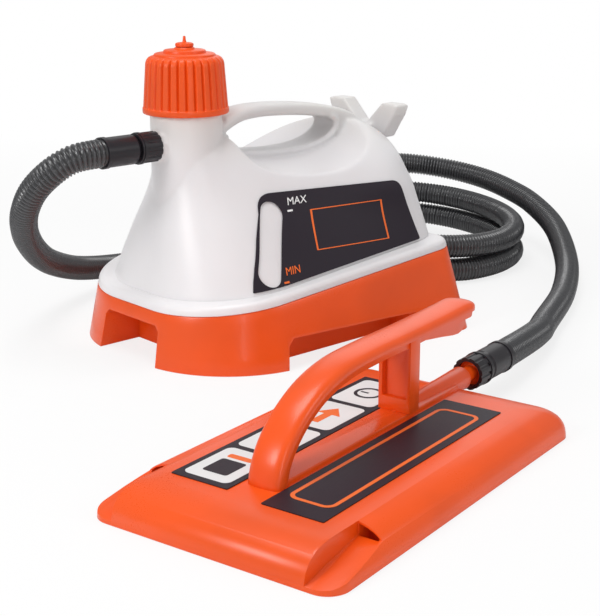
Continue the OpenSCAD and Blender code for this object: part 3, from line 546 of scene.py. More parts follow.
def make_finishes(look):
    FINISH.update(
        orange=moulded("orange_moulding", tuple(look.orange), 0.30, coat=0.10),
        cap=moulded("orange_cap_moulding", tuple(look.orange), 0.38),
        tank=blow_moulded("milky_tank", tuple(look.tank)),
        black=moulded("black_moulding", (0.016, 0.014, 0.018), 0.34),
        # The hose's own colour on the ridges, and painted shade for its grooves.
        hose=ribbed("ribbed_hose", (0.052, 0.053, 0.058), (0.004, 0.004, 0.005)),
        film=printed("dark_film", tuple(look.film)),
        orange_ink=printed("orange_ink", (0.86, 0.16, 0.03)),
        white_ink=printed("white_ink", (0.78, 0.78, 0.78)),
        rubber=moulded("black_rubber", (0.022, 0.022, 0.022), 0.62),
        grey=moulded("grey_moulding", (0.12, 0.12, 0.125), 0.5),
        white=moulded("white_moulding", (0.80, 0.79, 0.76), 0.4),
        brass=metal("turned_brass", (0.72, 0.53, 0.24), 0.26),
        heater=metal("heater_tube", (0.50, 0.49, 0.47), 0.36),
        steel=metal("plated_steel", (0.70, 0.70, 0.70), 0.2),
    )


# ---- settings
def colour_setting(name, about, value):
    return bpy.props.FloatVectorProperty(name=name, description=about, subtype="COLOR", size=3, min=0, max=1,
                                         default=value)


def length_setting(name, about, low, high, value):
    return bpy.props.FloatProperty(name=name, description=about, unit="LENGTH", min=low, max=high,
                                   default=value)


class STEAMER_PG_look(bpy.types.PropertyGroup):
    """Sizes and colours of the steamer."""
    orange: colour_setting("Orange", "Colour of the orange mouldings", (0.86, 0.088, 0.005))
    tank: colour_setting("Tank", "Colour of the milky tank", (0.71, 0.694, 0.706))
    film: colour_setting("Film", "Colour of the dark printed films", (0.020, 0.014, 0.022))
    rib_pitch: length_setting("Hose rib pitch", "Distance from rib to rib", 0.0025, 0.008, 0.0033)
    rib_depth: length_setting("Hose rib depth", "Depth of the groove between ribs", 0.0003, 0.0015, 0.0013)
    flutes: bpy.props.IntProperty(name="Cap flutes", description="Number of grip grooves on the cap", min=24,
                                  max=40, default=30)


# ---- stage and hose
class STEAMER_OT_stage(bpy.types.Operator):
    """Sets the camera, the floor and the soft lights"""
    bl_idname = "steamer.stage"
    bl_label = "Stage"

    def execute(self, context):
        clear_bench()
        bpy.ops.object.camera_add(location=CAMERA_AT, rotation=[radians(a) for a in CAMERA_TURN])
        camera = context.object
        camera.name = "view_from_nose"
        camera.data.sensor_width = SENSOR_MM
        camera.data.lens = FOCAL_PX * SENSOR_MM / LONG_SIDE_PX
        camera.data.clip_end = 50
        context.scene.camera = camera
        self.floor()
        self.lights(context)
        context.scene.view_settings.view_transform = "Standard"
        return {"FINISHED"}

    def floor(self):
        clear_bench()
        bpy.ops.mesh.primitive_plane_add(size=12, location=(0.1, 0.1, -0.0003))
        floor = bpy.context.object
        floor.name = "floor"
        p = Paint("pale_floor")
        seen = p.node("ShaderNodeLightPath")
        plain = {"Base Color": (0.86, 0.86, 0.86), "Roughness": 0.8, "Specular IOR Level": 0.1}
        paper = p.node("ShaderNodeBsdfPrincipled", sockets=plain)
        glow = p.node("ShaderNodeEmission", sockets={"Color": (1.0, 1.0, 1.0), "Strength": 1.0})
        far = (abs(p.axis(0)) + abs(p.axis(1)) - 0.55) * 1.2
        share = seen * (far.held() * 0.2 + 0.8)
        both = p.node("ShaderNodeMixShader", sockets={0: share, 1: paper, 2: glow})
        floor.data.materials.append(p.close(both))

    def lights(self, context):
        lamps = (("key", 3.2, 0.5, 0.5, (0.7, -1.5, 0.9), (0.0, 0.0, 0.08)),
                 ("nose", 9, 0.5, 0.5, (-1.6, 0.1, 0.9), (0.0, 0.1, 0.1)),
                 ("strip", 1.8, 0.03, 0.7, (-0.64, -1.22, 0.42), (-0.04, 0.06, 0.04)),
                 ("top", 13, 0.8, 0.8, (-0.2, 0.1, 1.7), (0.05, 0.0, 0.05)),
                 ("rear", 3, 1.2, 1.2, (1.3, 0.9, 0.9), (0.1, 0.1, 0.1)))
        for name, power, wide, tall, at, aim in lamps:
            clear_bench()
            bpy.ops.object.light_add(type="AREA", location=at)
            lamp = context.object
            lamp.name = name + "_light"
            lamp.data.shape = "RECTANGLE"
            lamp.data.energy, lamp.data.size, lamp.data.size_y = power, wide, tall
            lamp.rotation_euler = (Vector(aim) - Vector(at)).to_track_quat("-Z", "Y").to_euler()
        room = Paint("pale_room", "worlds", "ShaderNodeOutputWorld")
        dim, white = (room.node("ShaderNodeBackground", sockets={"Color": (1, 1, 1), "Strength": power})
                      for power in (0.47, 1.0))
        seen = room.node("ShaderNodeLightPath")
        both = room.node("ShaderNodeMixShader", sockets={0: seen, 1: dim, 2: white})
        context.scene.world = room.close(both)


# The hose's route, in millimetres
STRAIGHT, CUFF_SEAT, UNION_L = 20.5, 15, 48.8
COIL_AT, COIL_R, COIL_TURNS = Vector((262, 80, 0)), 108, 2
HOSE_LOW, COIL_RISE, COIL_TILT = 10.9, 22.4, 12.4
# Its radius, free and in its cuffs, and the length in a cuff, in metres
HOSE_R, SEATED_R, SEAT_L = 0.0108, 0.01025, 0.0155
# Depth of the groove between ribs, at each ring of one rib
RIB, RIB_SIDES = (1, 0.72, 0.16, 0, 0.16, 0.72), 16


def hose_line():
    """The hose's middle line, in metres, from the tank's cuff to the plate's."""
    start = Vector((-BOSS_FACE - UNION_L + CUFF_SEAT, 0, OUTLET_Z))

    def coil(t):
        a = 2 * pi * t
        lift = HOSE_LOW + COIL_RISE * t + COIL_TILT * cos(a)
        return COIL_AT + Vector((COIL_R * sin(a), COIL_R * cos(a), lift))

    along = STRAIGHT * Vector((2 * pi * COIL_R, 0, COIL_RISE)).normalized()
    out = Vector((cos(PLATE_TURN), sin(PLATE_TURN), 0))
    end = PLATE_AT - BASE_AT + out * (NUT_MOUTH + UNION_L - CUFF_SEAT) + Vector((0, 0, PIPE_Z))
    first = [start, start - Vector((STRAIGHT, 0, 0))] + [Vector(p) for p in TANK_ROUTE]
    first += [coil(0) - 2 * along, coil(0) - along]
    last = [coil(COIL_TURNS) + along, coil(COIL_TURNS) + 2 * along] + [Vector(p) for p in PLATE_ROUTE]
    last += [end + out * STRAIGHT, end]
    turns = [coil(COIL_TURNS * i / 240) for i in range(241)]
    whole = smooth_line(first, 12) + turns + smooth_line(last, 12)
    return [at_base((p[0], p[1], max(p[2], HOSE_LOW))) for p in whole]


class STEAMER_OT_hose(bpy.types.Operator):
    """Lays the ribbed hose from the tank, through its coil, to the plate"""
    bl_idname = "steamer.hose"
    bl_label = "Hose"

    def mark_grooves(self, hose, line, depth):
        """Stores on each point how deep it lies between the ribs, for the finish's painted groove shade and
        roughness.
        """
        tree = KDTree(len(line))
        for i, c in enumerate(line):
            tree.insert(c, i)
        tree.balance()
        deep = [min(max((HOSE_R - tree.find(v.co)[2]) / depth, 0), 1) for v in hose.data.vertices]
        hose.data.attributes.new("groove", "FLOAT", "POINT").data.foreach_set("value", deep)
        return hose

    def execute(self, context):
        look = context.scene.steamer_look
        raw = np.array([tuple(p) for p in hose_line()])
        gaps = np.linalg.norm(np.diff(raw, axis=0), axis=1)
        raw = raw[np.concatenate([[True], gaps > 1e-6])]
        reach = np.concatenate([[0], np.cumsum(np.linalg.norm(np.diff(raw, axis=0), axis=1))])
        ribs = round(reach[-1] / look.rib_pitch)
        at = np.linspace(0, reach[-1], ribs * len(RIB) + 1)
        line = np.stack([np.interp(at, reach, raw[:, k]) for k in range(3)], 1)
        heading = np.gradient(line, axis=0)
        heading /= np.linalg.norm(heading, axis=1)[:, None]
        side = np.cross(heading[0], (0, 0, 1))
        rings = []
        for i, (c, d) in enumerate(zip(line, heading)):
            side = side - d * side.dot(d)
            side /= np.linalg.norm(side)
            up = np.cross(side, d)
            seated = min(at[i], at[-1] - at[i]) < SEAT_L
            r = (SEATED_R if seated else HOSE_R) - look.rib_depth * RIB[i % len(RIB)]
            rings.append([c + r * (a * side + b * up) for a, b in circle(1, RIB_SIDES)])
        hose = self.mark_grooves(wrap("hose", rings), line, look.rib_depth)
        smooth_shade(hose, 70)
        done(hose, "steamer", "ribbed_hose", "hose", "hose_tank_run", "hose_coil", "hose_plate_run")
        tuple(at_outlet((0, 0, 26)))
        return {"FINISHED"}


# ---- base
ARCHES, ARCH_WALL = ("nose", "near", "far"), 2.4
GLAND_AT = (-45, 15)


def arch_tool(kind, grow):
    """A block that leaves a finger arch in the base's wall."""
    if kind == "nose":
        w, h = 36 + grow, 31 + grow
        outline = mirrored([(w, -1), (w - 2, h - 4), (w - 6, h)])
        return prism("arch", outline, -HALF_L - 20, -HALF_L + 38 + grow, along_base)
    a, b, h = -59 - grow, 75 + grow, 23 + grow
    outline = [(a, -1), (b, -1), (b - 3, h - 5), (b - 8, h), (a + 8, h), (a + 3, h - 5)]
    inner = half_w(-59) - 24 - grow
    side = 1 if kind == "far" else -1
    return prism("arch", outline, inner, half_w(75) + 30, lambda p: at_base((p[0], side * p[2], p[1])))


class STEAMER_OT_base(bpy.types.Operator):
    """Builds the flared base housing with its finger arches"""
    bl_idname = "steamer.base"
    bl_label = "Base"

    def execute(self, context):
        rings = [base_ring(0, 0), base_ring(12, 0), base_ring(26, 0), line_ring(-8, 0), line_ring(-1.0, 0),
                 line_ring(-0.35, 0.25), line_ring(-0.1, 0.9)]
        shell = wrap("base_shell", rings)
        room = wrap("room", [base_ring(-1, BASE_WALL), line_ring(-DECK_T - 0.1, BASE_WALL)])
        for kind in ARCHES:
            cut(room, arch_tool(kind, ARCH_WALL))
        cut(shell, room)
        for kind in ARCHES:
            cut(shell, arch_tool(kind, 0))
        cut(shell, prism("hole", moved(circle(6, 40), *GLAND_AT), HALF_L - 20, HALF_L + 20, along_base))
        soften(shell, 0.8, 2, 40)
        done(smooth_shade(shell, 30), "steamer", "orange_shell", "orange", "base_housing")
        return {"FINISHED"}


# ---- tank
def strap_rings():
    path = smooth_line([(x, 0, HANDLE_H - HANDLE_T / 2 - d) for x, d in STRAP], 5)
    rings = []
    for i, c in enumerate(path):
        d = (path[min(i + 1, len(path) - 1)] - path[max(i - 1, 0)]).normalized()
        up = Vector((-d.z, 0, d.x))
        rings.append([at_base(c + up * (HANDLE_T / 2 * copysign(abs(b) ** 0.7, b))
                              + Vector((0, HANDLE_W / 2 * copysign(abs(a) ** 0.55, a), 0)))
                      for a, b in circle(1, 32)])
    return rings


# Where the hollows' lips lie on both sides: x, distance from the middle and height
LIP_BOX = ((-44, 112), (17.5, 95), (118, 176))


class STEAMER_OT_tank(bpy.types.Operator):
    """Builds the blow-moulded tank with its neck, carrying handle and cradle"""
    bl_idname = "steamer.tank"
    bl_label = "Tank"

    def execute(self, context):
        top = WALLS[-1][0]
        body = wrap("tank_body", [wall_ring(0, 3)] + [wall_ring(top * i / 44) for i in range(45)])
        eye = smooth_line(EYE, 5, closed=True)
        cut(body, prism("eye", eye, -80, 80, lambda p: at_base((p[0], p[2], p[1]))))
        for side in (-1, 1):
            cut(body, self.hollow(side))
        neck = prism("neck", circle(NECK_R, 96), WALL_Z0 + 20, NECK_H, on_neck)
        boss = prism("boss", circle(10.6, 48), -14, 0, at_outlet)
        strap = wrap("strap", strap_rings())
        w, z = 41.5, 175.5
        vee = mirrored([(25, 146), (w - 3, z - 9), (w, z - 1), (w - 4, z), (23, z), (5, 158)])
        cradle = prism("cradle", vee, HALF_L - 9, HALF_L + 6, along_base)
        root = prism("root", mirrored([(13, 138), (13, 157)]), 80, HALF_L - 3, along_base)
        tank = weld("tank_shell", body, neck, boss, strap, cradle, root, self.bead(-1), self.bead(1))
        finish_with(tank, "REMESH", mode="VOXEL", voxel_size=1.5 * MM)
        lip = tank.vertex_groups.new(name="lip")
        (x0, x1), (y0, y1), (z0, z1) = LIP_BOX
        for v in tank.data.vertices:
            x, y, z = v.co / MM - BASE_AT
            if x0 < x < x1 and y0 < abs(y) < y1 and z0 < z < z1:
                lip.add([v.index], 1.0, "REPLACE")
        finish_with(tank, "SMOOTH", factor=0.5, iterations=16, vertex_group="lip")
        finish_with(tank, "SMOOTH", factor=0.5, iterations=4)
        cut(tank, prism("bore", circle(FILLER_R, 72), 110, 240, on_neck))
        cut(tank, prism("spout", circle(6.8, 40), -20, 10, at_outlet))
        done(smooth_shade(tank, 60), "steamer", "tank_plastic", "tank", "tank")
        self.flange()
        self.finish_ring()
        return {"FINISHED"}

    def bead(self, side):
        """The rounded edge of the handle's lower bar, on one side."""
        inset, off, wide, tall = 2.1, 11.4, 2.9, 3.2
        line = smooth_line(EYE[1:12], 5)
        rings = []
        for i, (x, z) in enumerate(line):
            (xa, za), (xb, zb) = line[max(i - 1, 0)], line[min(i + 1, len(line) - 1)]
            size = hypot(xb - xa, zb - za)
            nx, nz = (zb - za) / size, (xa - xb) / size
            cx, cz = x + inset * nx, z + inset * nz
            rings.append([at_base((cx + wide * a * nx, side * off + tall * b, cz + wide * a * nz))
                          for a, b in circle(1, 16)])
        return wrap("bead", rings)

    def hollow(self, side):
        """What is taken out of the tank's shoulder beside the handle."""
        rings = []
        root, sag, out, above = 12.4, 1.6, 120, 215
        for x, inner, reach, outer in smooth_line(HOLLOW, 4):
            floor = [(lerp(root, reach, t), lerp(inner, outer, t) - sag * sin(pi * t))
                     for t in (i / 12 for i in range(13))]
            floor += [(out, outer - 10), (out, above), (root, above)]
            rings.append([at_base((x, side * y, z)) for y, z in floor])
        return wrap("hollow", rings)

    def flange(self):
        """The band on which the tank stands, with its rounded upper edge."""
        inset, tall, wide = 0.05, 3.2, 3.6
        rings = [line_ring(0.1, 0.5), line_ring(0.5, inset), line_ring(1.0, 0),
                 line_ring(FLANGE_H - 3.4, inset)]
        for i in range(1, 8):
            a = radians(90 * i / 7)
            rings.append(line_ring(FLANGE_H - tall + tall * sin(a), inset + wide * (1 - cos(a))))
        rings.append(line_ring(FLANGE_H, CREASE))
        done(smooth_shade(wrap("tank_flange", rings), 40), "steamer", "tank_plastic", "tank")

    def finish_ring(self):
        """The neck's threaded finish under the cap."""
        root, low, top = FINISH_R - 1, NECK_H - 4, NECK_H + FINISH_L
        profile = [(FILLER_R, low), (root, low), (root, NECK_H + 1)]
        for i in range(3):
            z = NECK_H + 4 + i * 5.5
            profile += [(root, z), (FINISH_R - 0.1, z + 1.1), (FINISH_R - 0.1, z + 1.9), (root, z + 3)]
        profile += [(root, top - 0.6), (FINISH_R - 1.5, top), (FILLER_R + 0.6, top), (FILLER_R, top - 0.5),
                    (FILLER_R, low)]
        ring = lathe("neck_finish", profile, on_neck, 96)
        done(smooth_shade(ring, 40), "steamer", "tank_plastic", "tank")


# ---- level label
# Printed lines: thickness and place over the tank's side; height of the letters
INK_T, INK_LIFT, LETTER_H = 0.15, 1.6, 5.7


def bend_on_side(ob, low):
    """Lays a flat piece, drawn in x and height with its thickness in y, on the tank's side."""
    for v in ob.data.vertices:
        x, out, z = v.co / MM
        v.co = on_side(x, z, low + out)
    ob.data.update()
    return face_out(ob)


def flat_sheet(name, x0, x1, z0, z1, thick, step):
    """A slab of little thickness with an even mesh, drawn in x and height."""
    nx, nz = max(round((x1 - x0) / step), 1), max(round((z1 - z0) / step), 1)
    rows = [[(lerp(x0, x1, i / nx) * MM, 0, lerp(z0, z1, j / nz) * MM) for i in range(nx + 1)]
            for j in range(nz + 1)]
    ob = wrap(name, rows, closed=False, fill=False)
    finish_with(ob, "SOLIDIFY", thickness=thick * MM, offset=1 if ob.data.polygons[0].normal.y > 0 else -1)
    return face_out(ob)


def flat_prism(outline):
    return prism("outline", outline, -4, 4, lambda p: Vector((p[0], p[2], p[1])) * MM)


def strip_outline(name, outer, inner, lift, ink, step):
    """A printed outline: what lies between two closed lines, laid on the tank's side."""
    xs, zs = zip(*outer)
    ob = flat_sheet(name, min(xs) - 1, max(xs) + 1, min(zs) - 1, max(zs) + 1, INK_T, step)
    cut(ob, flat_prism(outer), "INTERSECT")
    if inner:
        cut(ob, flat_prism(inner))
    bend_on_side(ob, lift)
    return done(smooth_shade(ob, 30), "steamer", "label_film", ink)


def label_outline():
    foot, head = 2.5, 61

    def corner(x, h):
        return x, WALL_Z0 + h + wall_at(h)[1] * LINE_RISE * x

    a, b = corner(-71, foot), corner(93, foot)
    c, d = corner(80, head), corner(-40, head)

    def arc(p, q, r, size):
        """Rounds the corner q between p and r."""
        p, q, r = Vector(p), Vector(q), Vector(r)
        s, e = q + (p - q).normalized() * size, q + (r - q).normalized() * size
        return [tuple((1 - t) ** 2 * s + 2 * t * (1 - t) * q + t * t * e) for t in (i / 8 for i in range(9))]

    low_edge = [corner(lerp(-71, 93, i / 12), foot) for i in range(1, 12)]
    top_edge = [corner(lerp(80, -40, i / 12), head) for i in range(1, 11)]
    left = [corner(x, h) for x, h in ((-44.4, 48), (-54.6, 33), (-64.4, 17), (-68.5, 9))]
    return arc(left[-1], a, low_edge[0], 0.8) + low_edge + arc(low_edge[-1], b, c, 2) \
        + arc(b, c, top_edge[0], 7) + top_edge + arc(top_edge[-1], d, left[0], 11) + left


def slot_outline(r):
    """The sight slot: half circles about its head and its foot, joined."""
    foot, head = (Vector((x, WALL_Z0 + h + LINE_RISE * x * share))
                  for x, h, share in ((-54.9, 10.9, 0.8), (-34, 47.2, 0.2)))
    turn = atan2(head.y - foot.y, head.x - foot.x)
    return [tuple(end + Vector((r * cos(a), r * sin(a)))) for end, start in ((head, -90), (foot, 90))
            for a in (turn + radians(start + 10 * i) for i in range(19))]


class STEAMER_OT_level_label(bpy.types.Operator):
    """Lays the dark label with its clear slot and its level marks on the tank"""
    bl_idname = "steamer.level_label"
    bl_label = "Level label"

    def execute(self, context):
        film = flat_sheet("label_film_sheet", -80, 98, WALL_Z0 - 12, WALL_Z0 + 72, 0.7, 3)
        cut(film, flat_prism(label_outline()), "INTERSECT")
        cut(face_out(film), flat_prism(slot_outline(8.6)))
        if not film.data.polygons:
            raise RuntimeError("the label film came out empty")
        bend_on_side(film, 0.8)
        done(smooth_shade(film, 30), "steamer", "label_film", "film", "level_label")
        self.frame_line([(-2, 109.1), (61.7, 110.5), (61.9, 80.2), (-7.6, 80)])
        for text, ink, at, tick in (("MAX", "white_ink", (-19.6, 113.7), (-20.9, 109.0)),
                                    ("MIN", "orange_ink", (-42.6, 66.5), (-46.2, 61.2))):
            self.word(text, *at, ink)
            line = moved([(0, 0), (4.4, 0.2), (4.6, 1.5), (0.2, 1.3)], *tick)
            strip_outline("tick_" + text.lower(), line, None, INK_LIFT, ink, 2)
        return {"FINISHED"}

    def frame_line(self, corners):
        c = sum((Vector(p) for p in corners), Vector((0, 0))) / 4
        inner = [tuple(c + (Vector(p) - c) - (Vector(p) - c).normalized() * 1.6) for p in corners]
        strip_outline("label_frame", corners, inner, INK_LIFT - 0.05, "orange_ink", 3)

    def word(self, text, x, z, ink):
        clear_bench()
        bpy.ops.object.text_add(location=(0, 0, 0))
        t = bpy.context.object
        t.data.body, t.data.size, t.data.extrude = text, LETTER_H * 1.35, 0.1
        bpy.ops.object.convert(target="MESH")
        t = bpy.context.object
        t.name = "mark_" + text.lower()
        for v in t.data.vertices:
            across, up, lift = v.co
            v.co = on_side(x + across + 0.28 * up, z + up + 0.05 * across, 1.9 + lift)
        face_out(done(t, "steamer", "label_film", ink), merge=1e-6)


# ---- cap
# Radius, height over the cap's side and share of the grooves' depth
CAP_DOME = [(2.55, 8.2), (7.0, 8.2), (7.6, 7.7), (8.0, 6.8), (8.6, 6.6), (15.2, 6.3), (15.9, 5.9),
            (16.1, 5.3), (16.3, 4.2), (22.4, 3.7), (23.1, 3.3), (23.4, 2.7), (23.6, 2.0), (25.0, 1.8),
            (26.5, 1.3, 0.3), (27.8, 0.5, 0.6), (28.8, -0.7, 0.85), (29.5, -2.1, 0.95), (29.9, -3.6, 1)]
# Radius, height over the cap's lower edge and share of the grooves' depth
CAP_RIM = [(32.35, 5.0, 0.85), (32.5, 4.5, 0.25), (32.9, 4.1), (33.0, 3.5), (33.0, 0.9), (32.8, 0.3),
           (32.3, 0), (25.6, 0), (25.1, 0.5), (25.0, 1.5)]
VALVE_TOP = [(2.5, 232.8), (6.4, 232.8), (6.9, 233.3), (7.0, 234.6), (6.6, 235.4), (5.6, 235.8), (2.2, 236.0),
             (1.5, 236.5), (1.15, 238.2), (1.0, 240.2), (0.7, 240.7), (0, 240.8)]


class STEAMER_OT_cap(bpy.types.Operator):
    """Turns the fluted cap and its relief valve"""
    bl_idname = "steamer.cap"
    bl_label = "Cap and valve"

    def execute(self, context):
        flutes = context.scene.steamer_look.flutes
        z, top, seat, room, disc = CAP_Z, CAP_TOP, 211.1, 225.3, 215.1
        dome = [(p[0], top + p[1], *p[2:]) for p in CAP_DOME]
        wall = [(30.0 + 2.3 * t, lerp(top - 4.8, z + 5.6, t), 1) for t in (i / 9 for i in range(10))]
        rim = [(p[0], z + p[1], *p[2:]) for p in CAP_RIM]
        inside = [(25.0, seat), (9, seat), (9, room), (2.55, room), (2.55, top + 8.2)]
        cap = lathe("cap_fluted", dome + wall + rim + inside, on_neck, flutes * 16, flutes, GROOVE_D)
        done(smooth_shade(cap, 30), "cap", "orange_cap", "cap", "cap_shell")
        pin = lathe("valve_knob", [(0, 212.1), (8, 212.1), (8, disc), (2.5, disc), *VALVE_TOP], on_neck, 48)
        done(smooth_shade(pin, 35), "valve", "orange_cap", "cap", "valve_pin")
        self.spring(on_neck, disc, room)
        return {"FINISHED"}

    def spring(self, place, low, high):
        """The valve's spring."""
        radius, wire, coils, steps = 5, 0.6, 5, 120
        rings = []
        for i in range(steps + 1):
            a = 2 * pi * coils * i / steps
            z = lerp(low + wire + 0.1, high - wire - 0.1, i / steps)
            rings.append([place(((radius + b) * cos(a), (radius + b) * sin(a), z + c))
                          for b, c in circle(wire, 8)])
        coil = smooth_shade(wrap("valve_coil", rings), 50)
        done(coil, "cap", "screw_steel", "steel", "valve_spring")
        tuple(place((0, 0, high)))
        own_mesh(coil)


# ---- steam plate
EDGE = [(0, 0), (0.14, 0.15), (0.28, 0.6), (0.41, 1.4), (0.52, 2.6), (0.63, 4.2), (0.72, 6.4), (0.80, 8.9),
        (0.87, 12), (0.92, 15.3), (0.96, 19), (0.985, 23.3), (1, 28)]
POCKET = [(66.6, 5), (79.5, 5), (79.5, 13.2), (76.5, 15.4), (72, 17.3), (66.6, 18.8)]


def plate_ring(z, e):
    x, y, r = PLATE_L / 2 - e, PLATE_W / 2 - e, max(PLATE_R - 0.4 * e, 4)
    return [at_plate((a, b, z)) for a, b in rounded(-x, x, -y, y, r, 12)]


def plate_dome(name, drop, e):
    return wrap(name, [plate_ring(k * (PLATE_H - drop) - (drop if k == 0 else 0), i + e) for k, i in EDGE])


def corner_tool(side, grow):
    """The groove across a front corner. Its floor rises towards the pocket at its end."""
    y0, y1 = sorted((side * (66 - grow), side * (119 - grow)))
    rings = []
    for x, z in ((-150, 1.4 - grow), (-141, 2.6 - grow), (-90, 12.4 - grow)):
        rings.append([at_plate((x, *p)) for p in ((y0, z), (y1, z), (y1, 45), (y0, 45))])
    return wrap("corner", rings)


class STEAMER_OT_plate(bpy.types.Operator):
    """Builds the steam plate with its corner grooves, spine and inlet pipe"""
    bl_idname = "steamer.plate"
    bl_label = "Steam plate"

    def execute(self, context):
        shell = plate_dome("plate_cover", 0, 0)
        room = plate_dome("room", PLATE_WALL, PLATE_WALL)
        for side in (-1, 1):
            cut(room, corner_tool(side, PLATE_WALL))
            a, b = sorted((side * 62, side * 90))
            cut(room, prism("backing", [(a, -2), (b, -2), (b, 30), (a, 30)], -93, -76, along_plate))
        for x, y in ((-104, 30), (104, 30), (-104, -30), (104, -30)):
            cut(room, prism("post", moved(circle(4.5, 32), x, y), 8.3, 30, at_plate))
        cut(shell, room)
        spine = prism("spine", rounded(-76.5, 120, -10, 10, 2), PLATE_H - 1, PLATE_H + SPINE_H, at_plate)
        cut(shell, soften(spine, 0.9, 3), "UNION")
        throat = [(0, 40), (2.4, 40), (6.7, 90), (8.2, 139.4), (8.0, 140), (5.35, 140), (5.35, 98), (0, 98)]
        cut(shell, lathe("throat", throat, along_pipe, 48), "UNION")
        for side in (-1, 1):
            cut(shell, corner_tool(side, 0))
            pocket = [(side * y, z) for y, z in POCKET]
            cut(shell, prism("pocket", pocket, -91, -79, along_plate))
        soften(shell, 0.6, 2, 45)
        done(smooth_shade(shell, 32), "steam_plate", "orange_shell", "orange", "plate_shell")
        tip = [(8.9, 155), (8.9, 156.2), (8.3, 156.9), (8.9, 157.6), (8.9, 158.6), (8.3, 159.3), (8.9, 160),
               (8.9, 161.4), (8.4, 162)]
        tube = [(3.6, 99), (5.3, 99), (5.3, 155), *tip, (3.6, 162), (3.6, 99)]
        pipe = lathe("inlet_pipe", tube, along_pipe, 48)
        done(smooth_shade(pipe, 35), "steam_plate", "orange_shell", "orange", "plate_inlet")
        return {"FINISHED"}


def grip_rings():
    crown = [(-0.44, 1), (-0.44, 0.68), (-0.5, 0.62), (-0.498, 0.44), (-0.475, 0.29), (-0.435, 0.18),
             (-0.37, 0.095), (-0.27, 0.04), (-0.14, 0.01), (0, 0)]
    section = crown + [(-x, d) for x, d in reversed(crown[:-1])]
    line = smooth_line([(s, 0, GRIP_TOP - d) for s, d in BOW], 5)
    rings = []
    for i, c in enumerate(line):
        d = Vector((0, 0, 1)) if i == 0 else (line[min(i + 1, len(line) - 1)] - line[i - 1]).normalized()
        inward = Vector((d.z, 0, -d.x))
        close = sqrt(max(1 - (max(c.x - 131, 0) / 16.6) ** 2, 0.05))
        wide, deep = GRIP_W * close, GRIP_D * close
        inner = max(wide - 2 * GRIP_WALL, 0.3 * wide)
        ring = [c + Vector((0, -x * wide, 0)) + inward * (t * deep) for x, t in section]
        for x, t in reversed(section):
            depth = deep if t == 1 else GRIP_WALL + t * (deep - GRIP_WALL)
            ring.append(c + Vector((0, -x * inner, 0)) + inward * depth)
        rings.append([at_plate(p) for p in ring])
    return rings


class STEAMER_OT_handle(bpy.types.Operator):
    """Builds the plate's bowed channel handle and its strut"""
    bl_idname = "steamer.handle"
    bl_label = "Plate handle"

    def execute(self, context):
        foot, skin = PLATE_H + SPINE_H + 0.1, PLATE_H + 0.1
        grip = wrap("grip_channel", grip_rings())
        strut = prism("strut", [(-11.7, foot), (11.7, foot), (11.7, 72), (-11.7, 72)], STRUT_S - 5.75,
                      STRUT_S + 5.75, along_plate)
        for s in (-1, 1):
            a, b = sorted((STRUT_S + s * 1.5, STRUT_S + s * 20))
            cut(strut, prism("recess", rounded(-9.1, 9.1, 33.1, 70, 1.2, 4), a, b, along_plate))
        under = [(60, 75), (60, 68.5), (76, 66.8), (96, 63.8), (112, 61), (119, 60.4), (123.5, 61.2),
                 (126.6, 63.4), (128.4, 66.8), (129, 71), (129, 75)]
        tongue = prism("tongue", under, -8.4, 8.4, lambda p: at_plate((p[0], p[2], p[1])))
        block = prism("block", rounded(-86.2, -77.5, -9, 9, 2, 4), skin - 1, foot + 4, at_plate)
        for part in (strut, tongue, block):
            cut(grip, part, "UNION")
        below = [(-200, -50), (200, -50), (200, 50), (-200, 50)]
        cut(grip, prism("floor_cut", below, skin - 50, skin, at_plate))
        soften(grip, 0.5, 2, 40)
        done(smooth_shade(grip, 32), "steam_plate", "orange_shell", "orange", "plate_handle")
        return {"FINISHED"}


# Heights over the plate's top, and the thickness of the print
FILM_TOP, CARD_TOP, PRINT_T = 0.6, 0.72, 0.12


class STEAMER_OT_panels(bpy.types.Operator):
    """Lays the two printed panels on the plate"""
    bl_idname = "steamer.panels"
    bl_label = "Plate panels"

    def ink(self, name, outline, low, finish, hole=None):
        ob = prism(name, outline, PLATE_H + low, PLATE_H + low + PRINT_T, at_plate)
        if hole:
            cut(ob, prism("hole", hole, PLATE_H, PLATE_H + 3, at_plate))
        done(ob, "steam_plate", "label_film", finish)

    def execute(self, context):
        for name, place in (("name_panel", (-105, 96, -54, -12.5)), ("guide_panel", (-101, 104, 14, 55))):
            edge = rounded(*place, 0.8, 3)
            film = prism(name + "_film", edge, PLATE_H + 0.05, PLATE_H + FILM_TOP, at_plate)
            done(film, "steam_plate", "label_film", "film", name)
        outer, inner = rounded(-90, 81, -48.5, -18, 7), rounded(-87.4, 78.4, -45.9, -20.6, 4.6)
        self.ink("name_outline", outer, FILM_TOP, "orange_ink", inner)
        for i in range(4):
            x = -96 + 50 * i
            self.ink(f"guide_card_{i}", rounded(x, x + 45, 18, 51, 4.5), FILM_TOP, "white_ink")
            self.picture(i, x + 22.5, 34.5)
        return {"FINISHED"}

    def picture(self, i, x, y):
        """A plain pictogram: a plate, a drop, an arrow or a dial."""
        if i == 0:
            self.ink("card_plate", rounded(x - 14, x + 6, y - 9, y + 9, 2), CARD_TOP, "film")
            self.ink("card_bar", rounded(x + 9, x + 14, y - 9, y + 9, 1.5), CARD_TOP, "orange_ink")
        elif i == 1:
            drop = [(7 * b * (1 - 0.25 * a), -9 * a) for a, b in circle(1, 32)]
            self.ink("card_drop", moved(drop, x, y), CARD_TOP, "film")
        elif i == 2:
            arrow = [(-14, -3), (2, -3), (2, -9), (14, 0), (2, 9), (2, 3), (-14, 3)]
            self.ink("card_arrow", moved(arrow, x, y), CARD_TOP, "orange_ink")
        else:
            dial, middle = moved(circle(10, 40), x, y), moved(circle(7.6, 40), x, y)
            self.ink("card_dial", dial, CARD_TOP, "film", middle)
            self.ink("card_hand", moved([(-0.9, 0), (0.9, 0), (0.9, 6), (-0.9, 6)], x, y), CARD_TOP, "film")


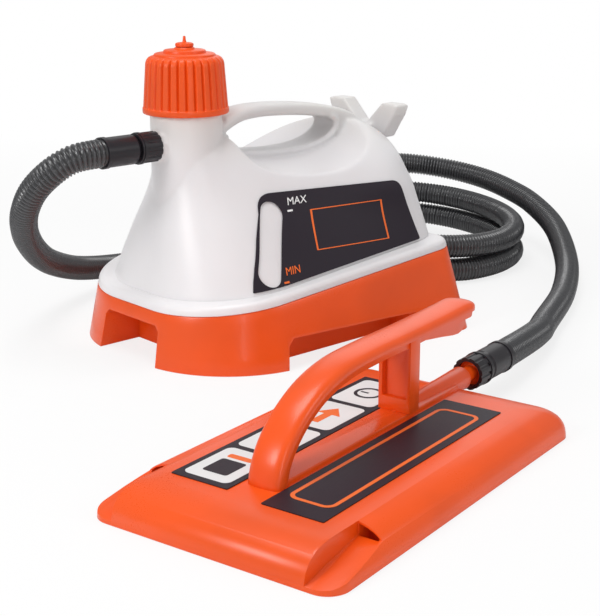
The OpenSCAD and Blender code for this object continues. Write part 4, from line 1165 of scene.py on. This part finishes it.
# ---- parts that keep their solids
KEPT = {
    "black": ("tank_nut", "tank_cuff", "plate_nut", "plate_cuff", "outlet_spigot"),
    "rubber": ("cord_gland", "element_seal", "cap_seal", "outlet_seal"),
    "grey": ("base_cover", "cable_clamp"),
    "white": ("terminal_block", "cap_liner", "thermal_cutout"),
    "brass": ("element_nut", "element_flange", "spigot_nut"),
    "heater": ("heating_element",),
    "steel": ("cover_screws", "deck_screws", "baffle_screws", "handle_screws"),
    "orange": ("steam_baffle",),
}


class STEAMER_OT_small_parts(bpy.types.Operator):
    """Gives the nuts, cuffs, seals, screws and inner parts their finishes"""
    bl_idname = "steamer.small_parts"
    bl_label = "Small parts"

    def execute(self, context):
        for finish, names in KEPT.items():
            for n in names:
                dress(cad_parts[n], finish)
        return {"FINISHED"}


STEPS = (STEAMER_OT_stage, STEAMER_OT_hose, STEAMER_OT_base, STEAMER_OT_tank, STEAMER_OT_level_label,
         STEAMER_OT_cap, STEAMER_OT_plate, STEAMER_OT_handle, STEAMER_OT_panels, STEAMER_OT_small_parts)


class STEAMER_PT_bench(bpy.types.Panel):
    """Lists the steamer's pieces and settings"""
    bl_idname = "STEAMER_PT_bench"
    bl_label = "Wallpaper Steamer"
    bl_space_type = "VIEW_3D"
    bl_region_type = "UI"
    bl_category = "Steamer"

    def draw(self, context):
        look = context.scene.steamer_look
        for name in ("orange", "tank", "film", "rib_pitch", "rib_depth", "flutes"):
            self.layout.prop(look, name)
        for step in STEPS:
            self.layout.operator(step.bl_idname)


CLASSES = (STEAMER_PG_look, *STEPS, STEAMER_PT_bench)


def register():
    for c in CLASSES:
        bpy.utils.register_class(c)
    bpy.types.Scene.steamer_look = bpy.props.PointerProperty(type=STEAMER_PG_look)


def unregister():
    del bpy.types.Scene.steamer_look
    for c in reversed(CLASSES):
        bpy.utils.unregister_class(c)


def main():
    register()
    make_finishes(bpy.context.scene.steamer_look)
    for step in STEPS:
        getattr(bpy.ops.steamer, step.bl_idname.split(".")[1])()


if __name__ == "__main__":
    main()
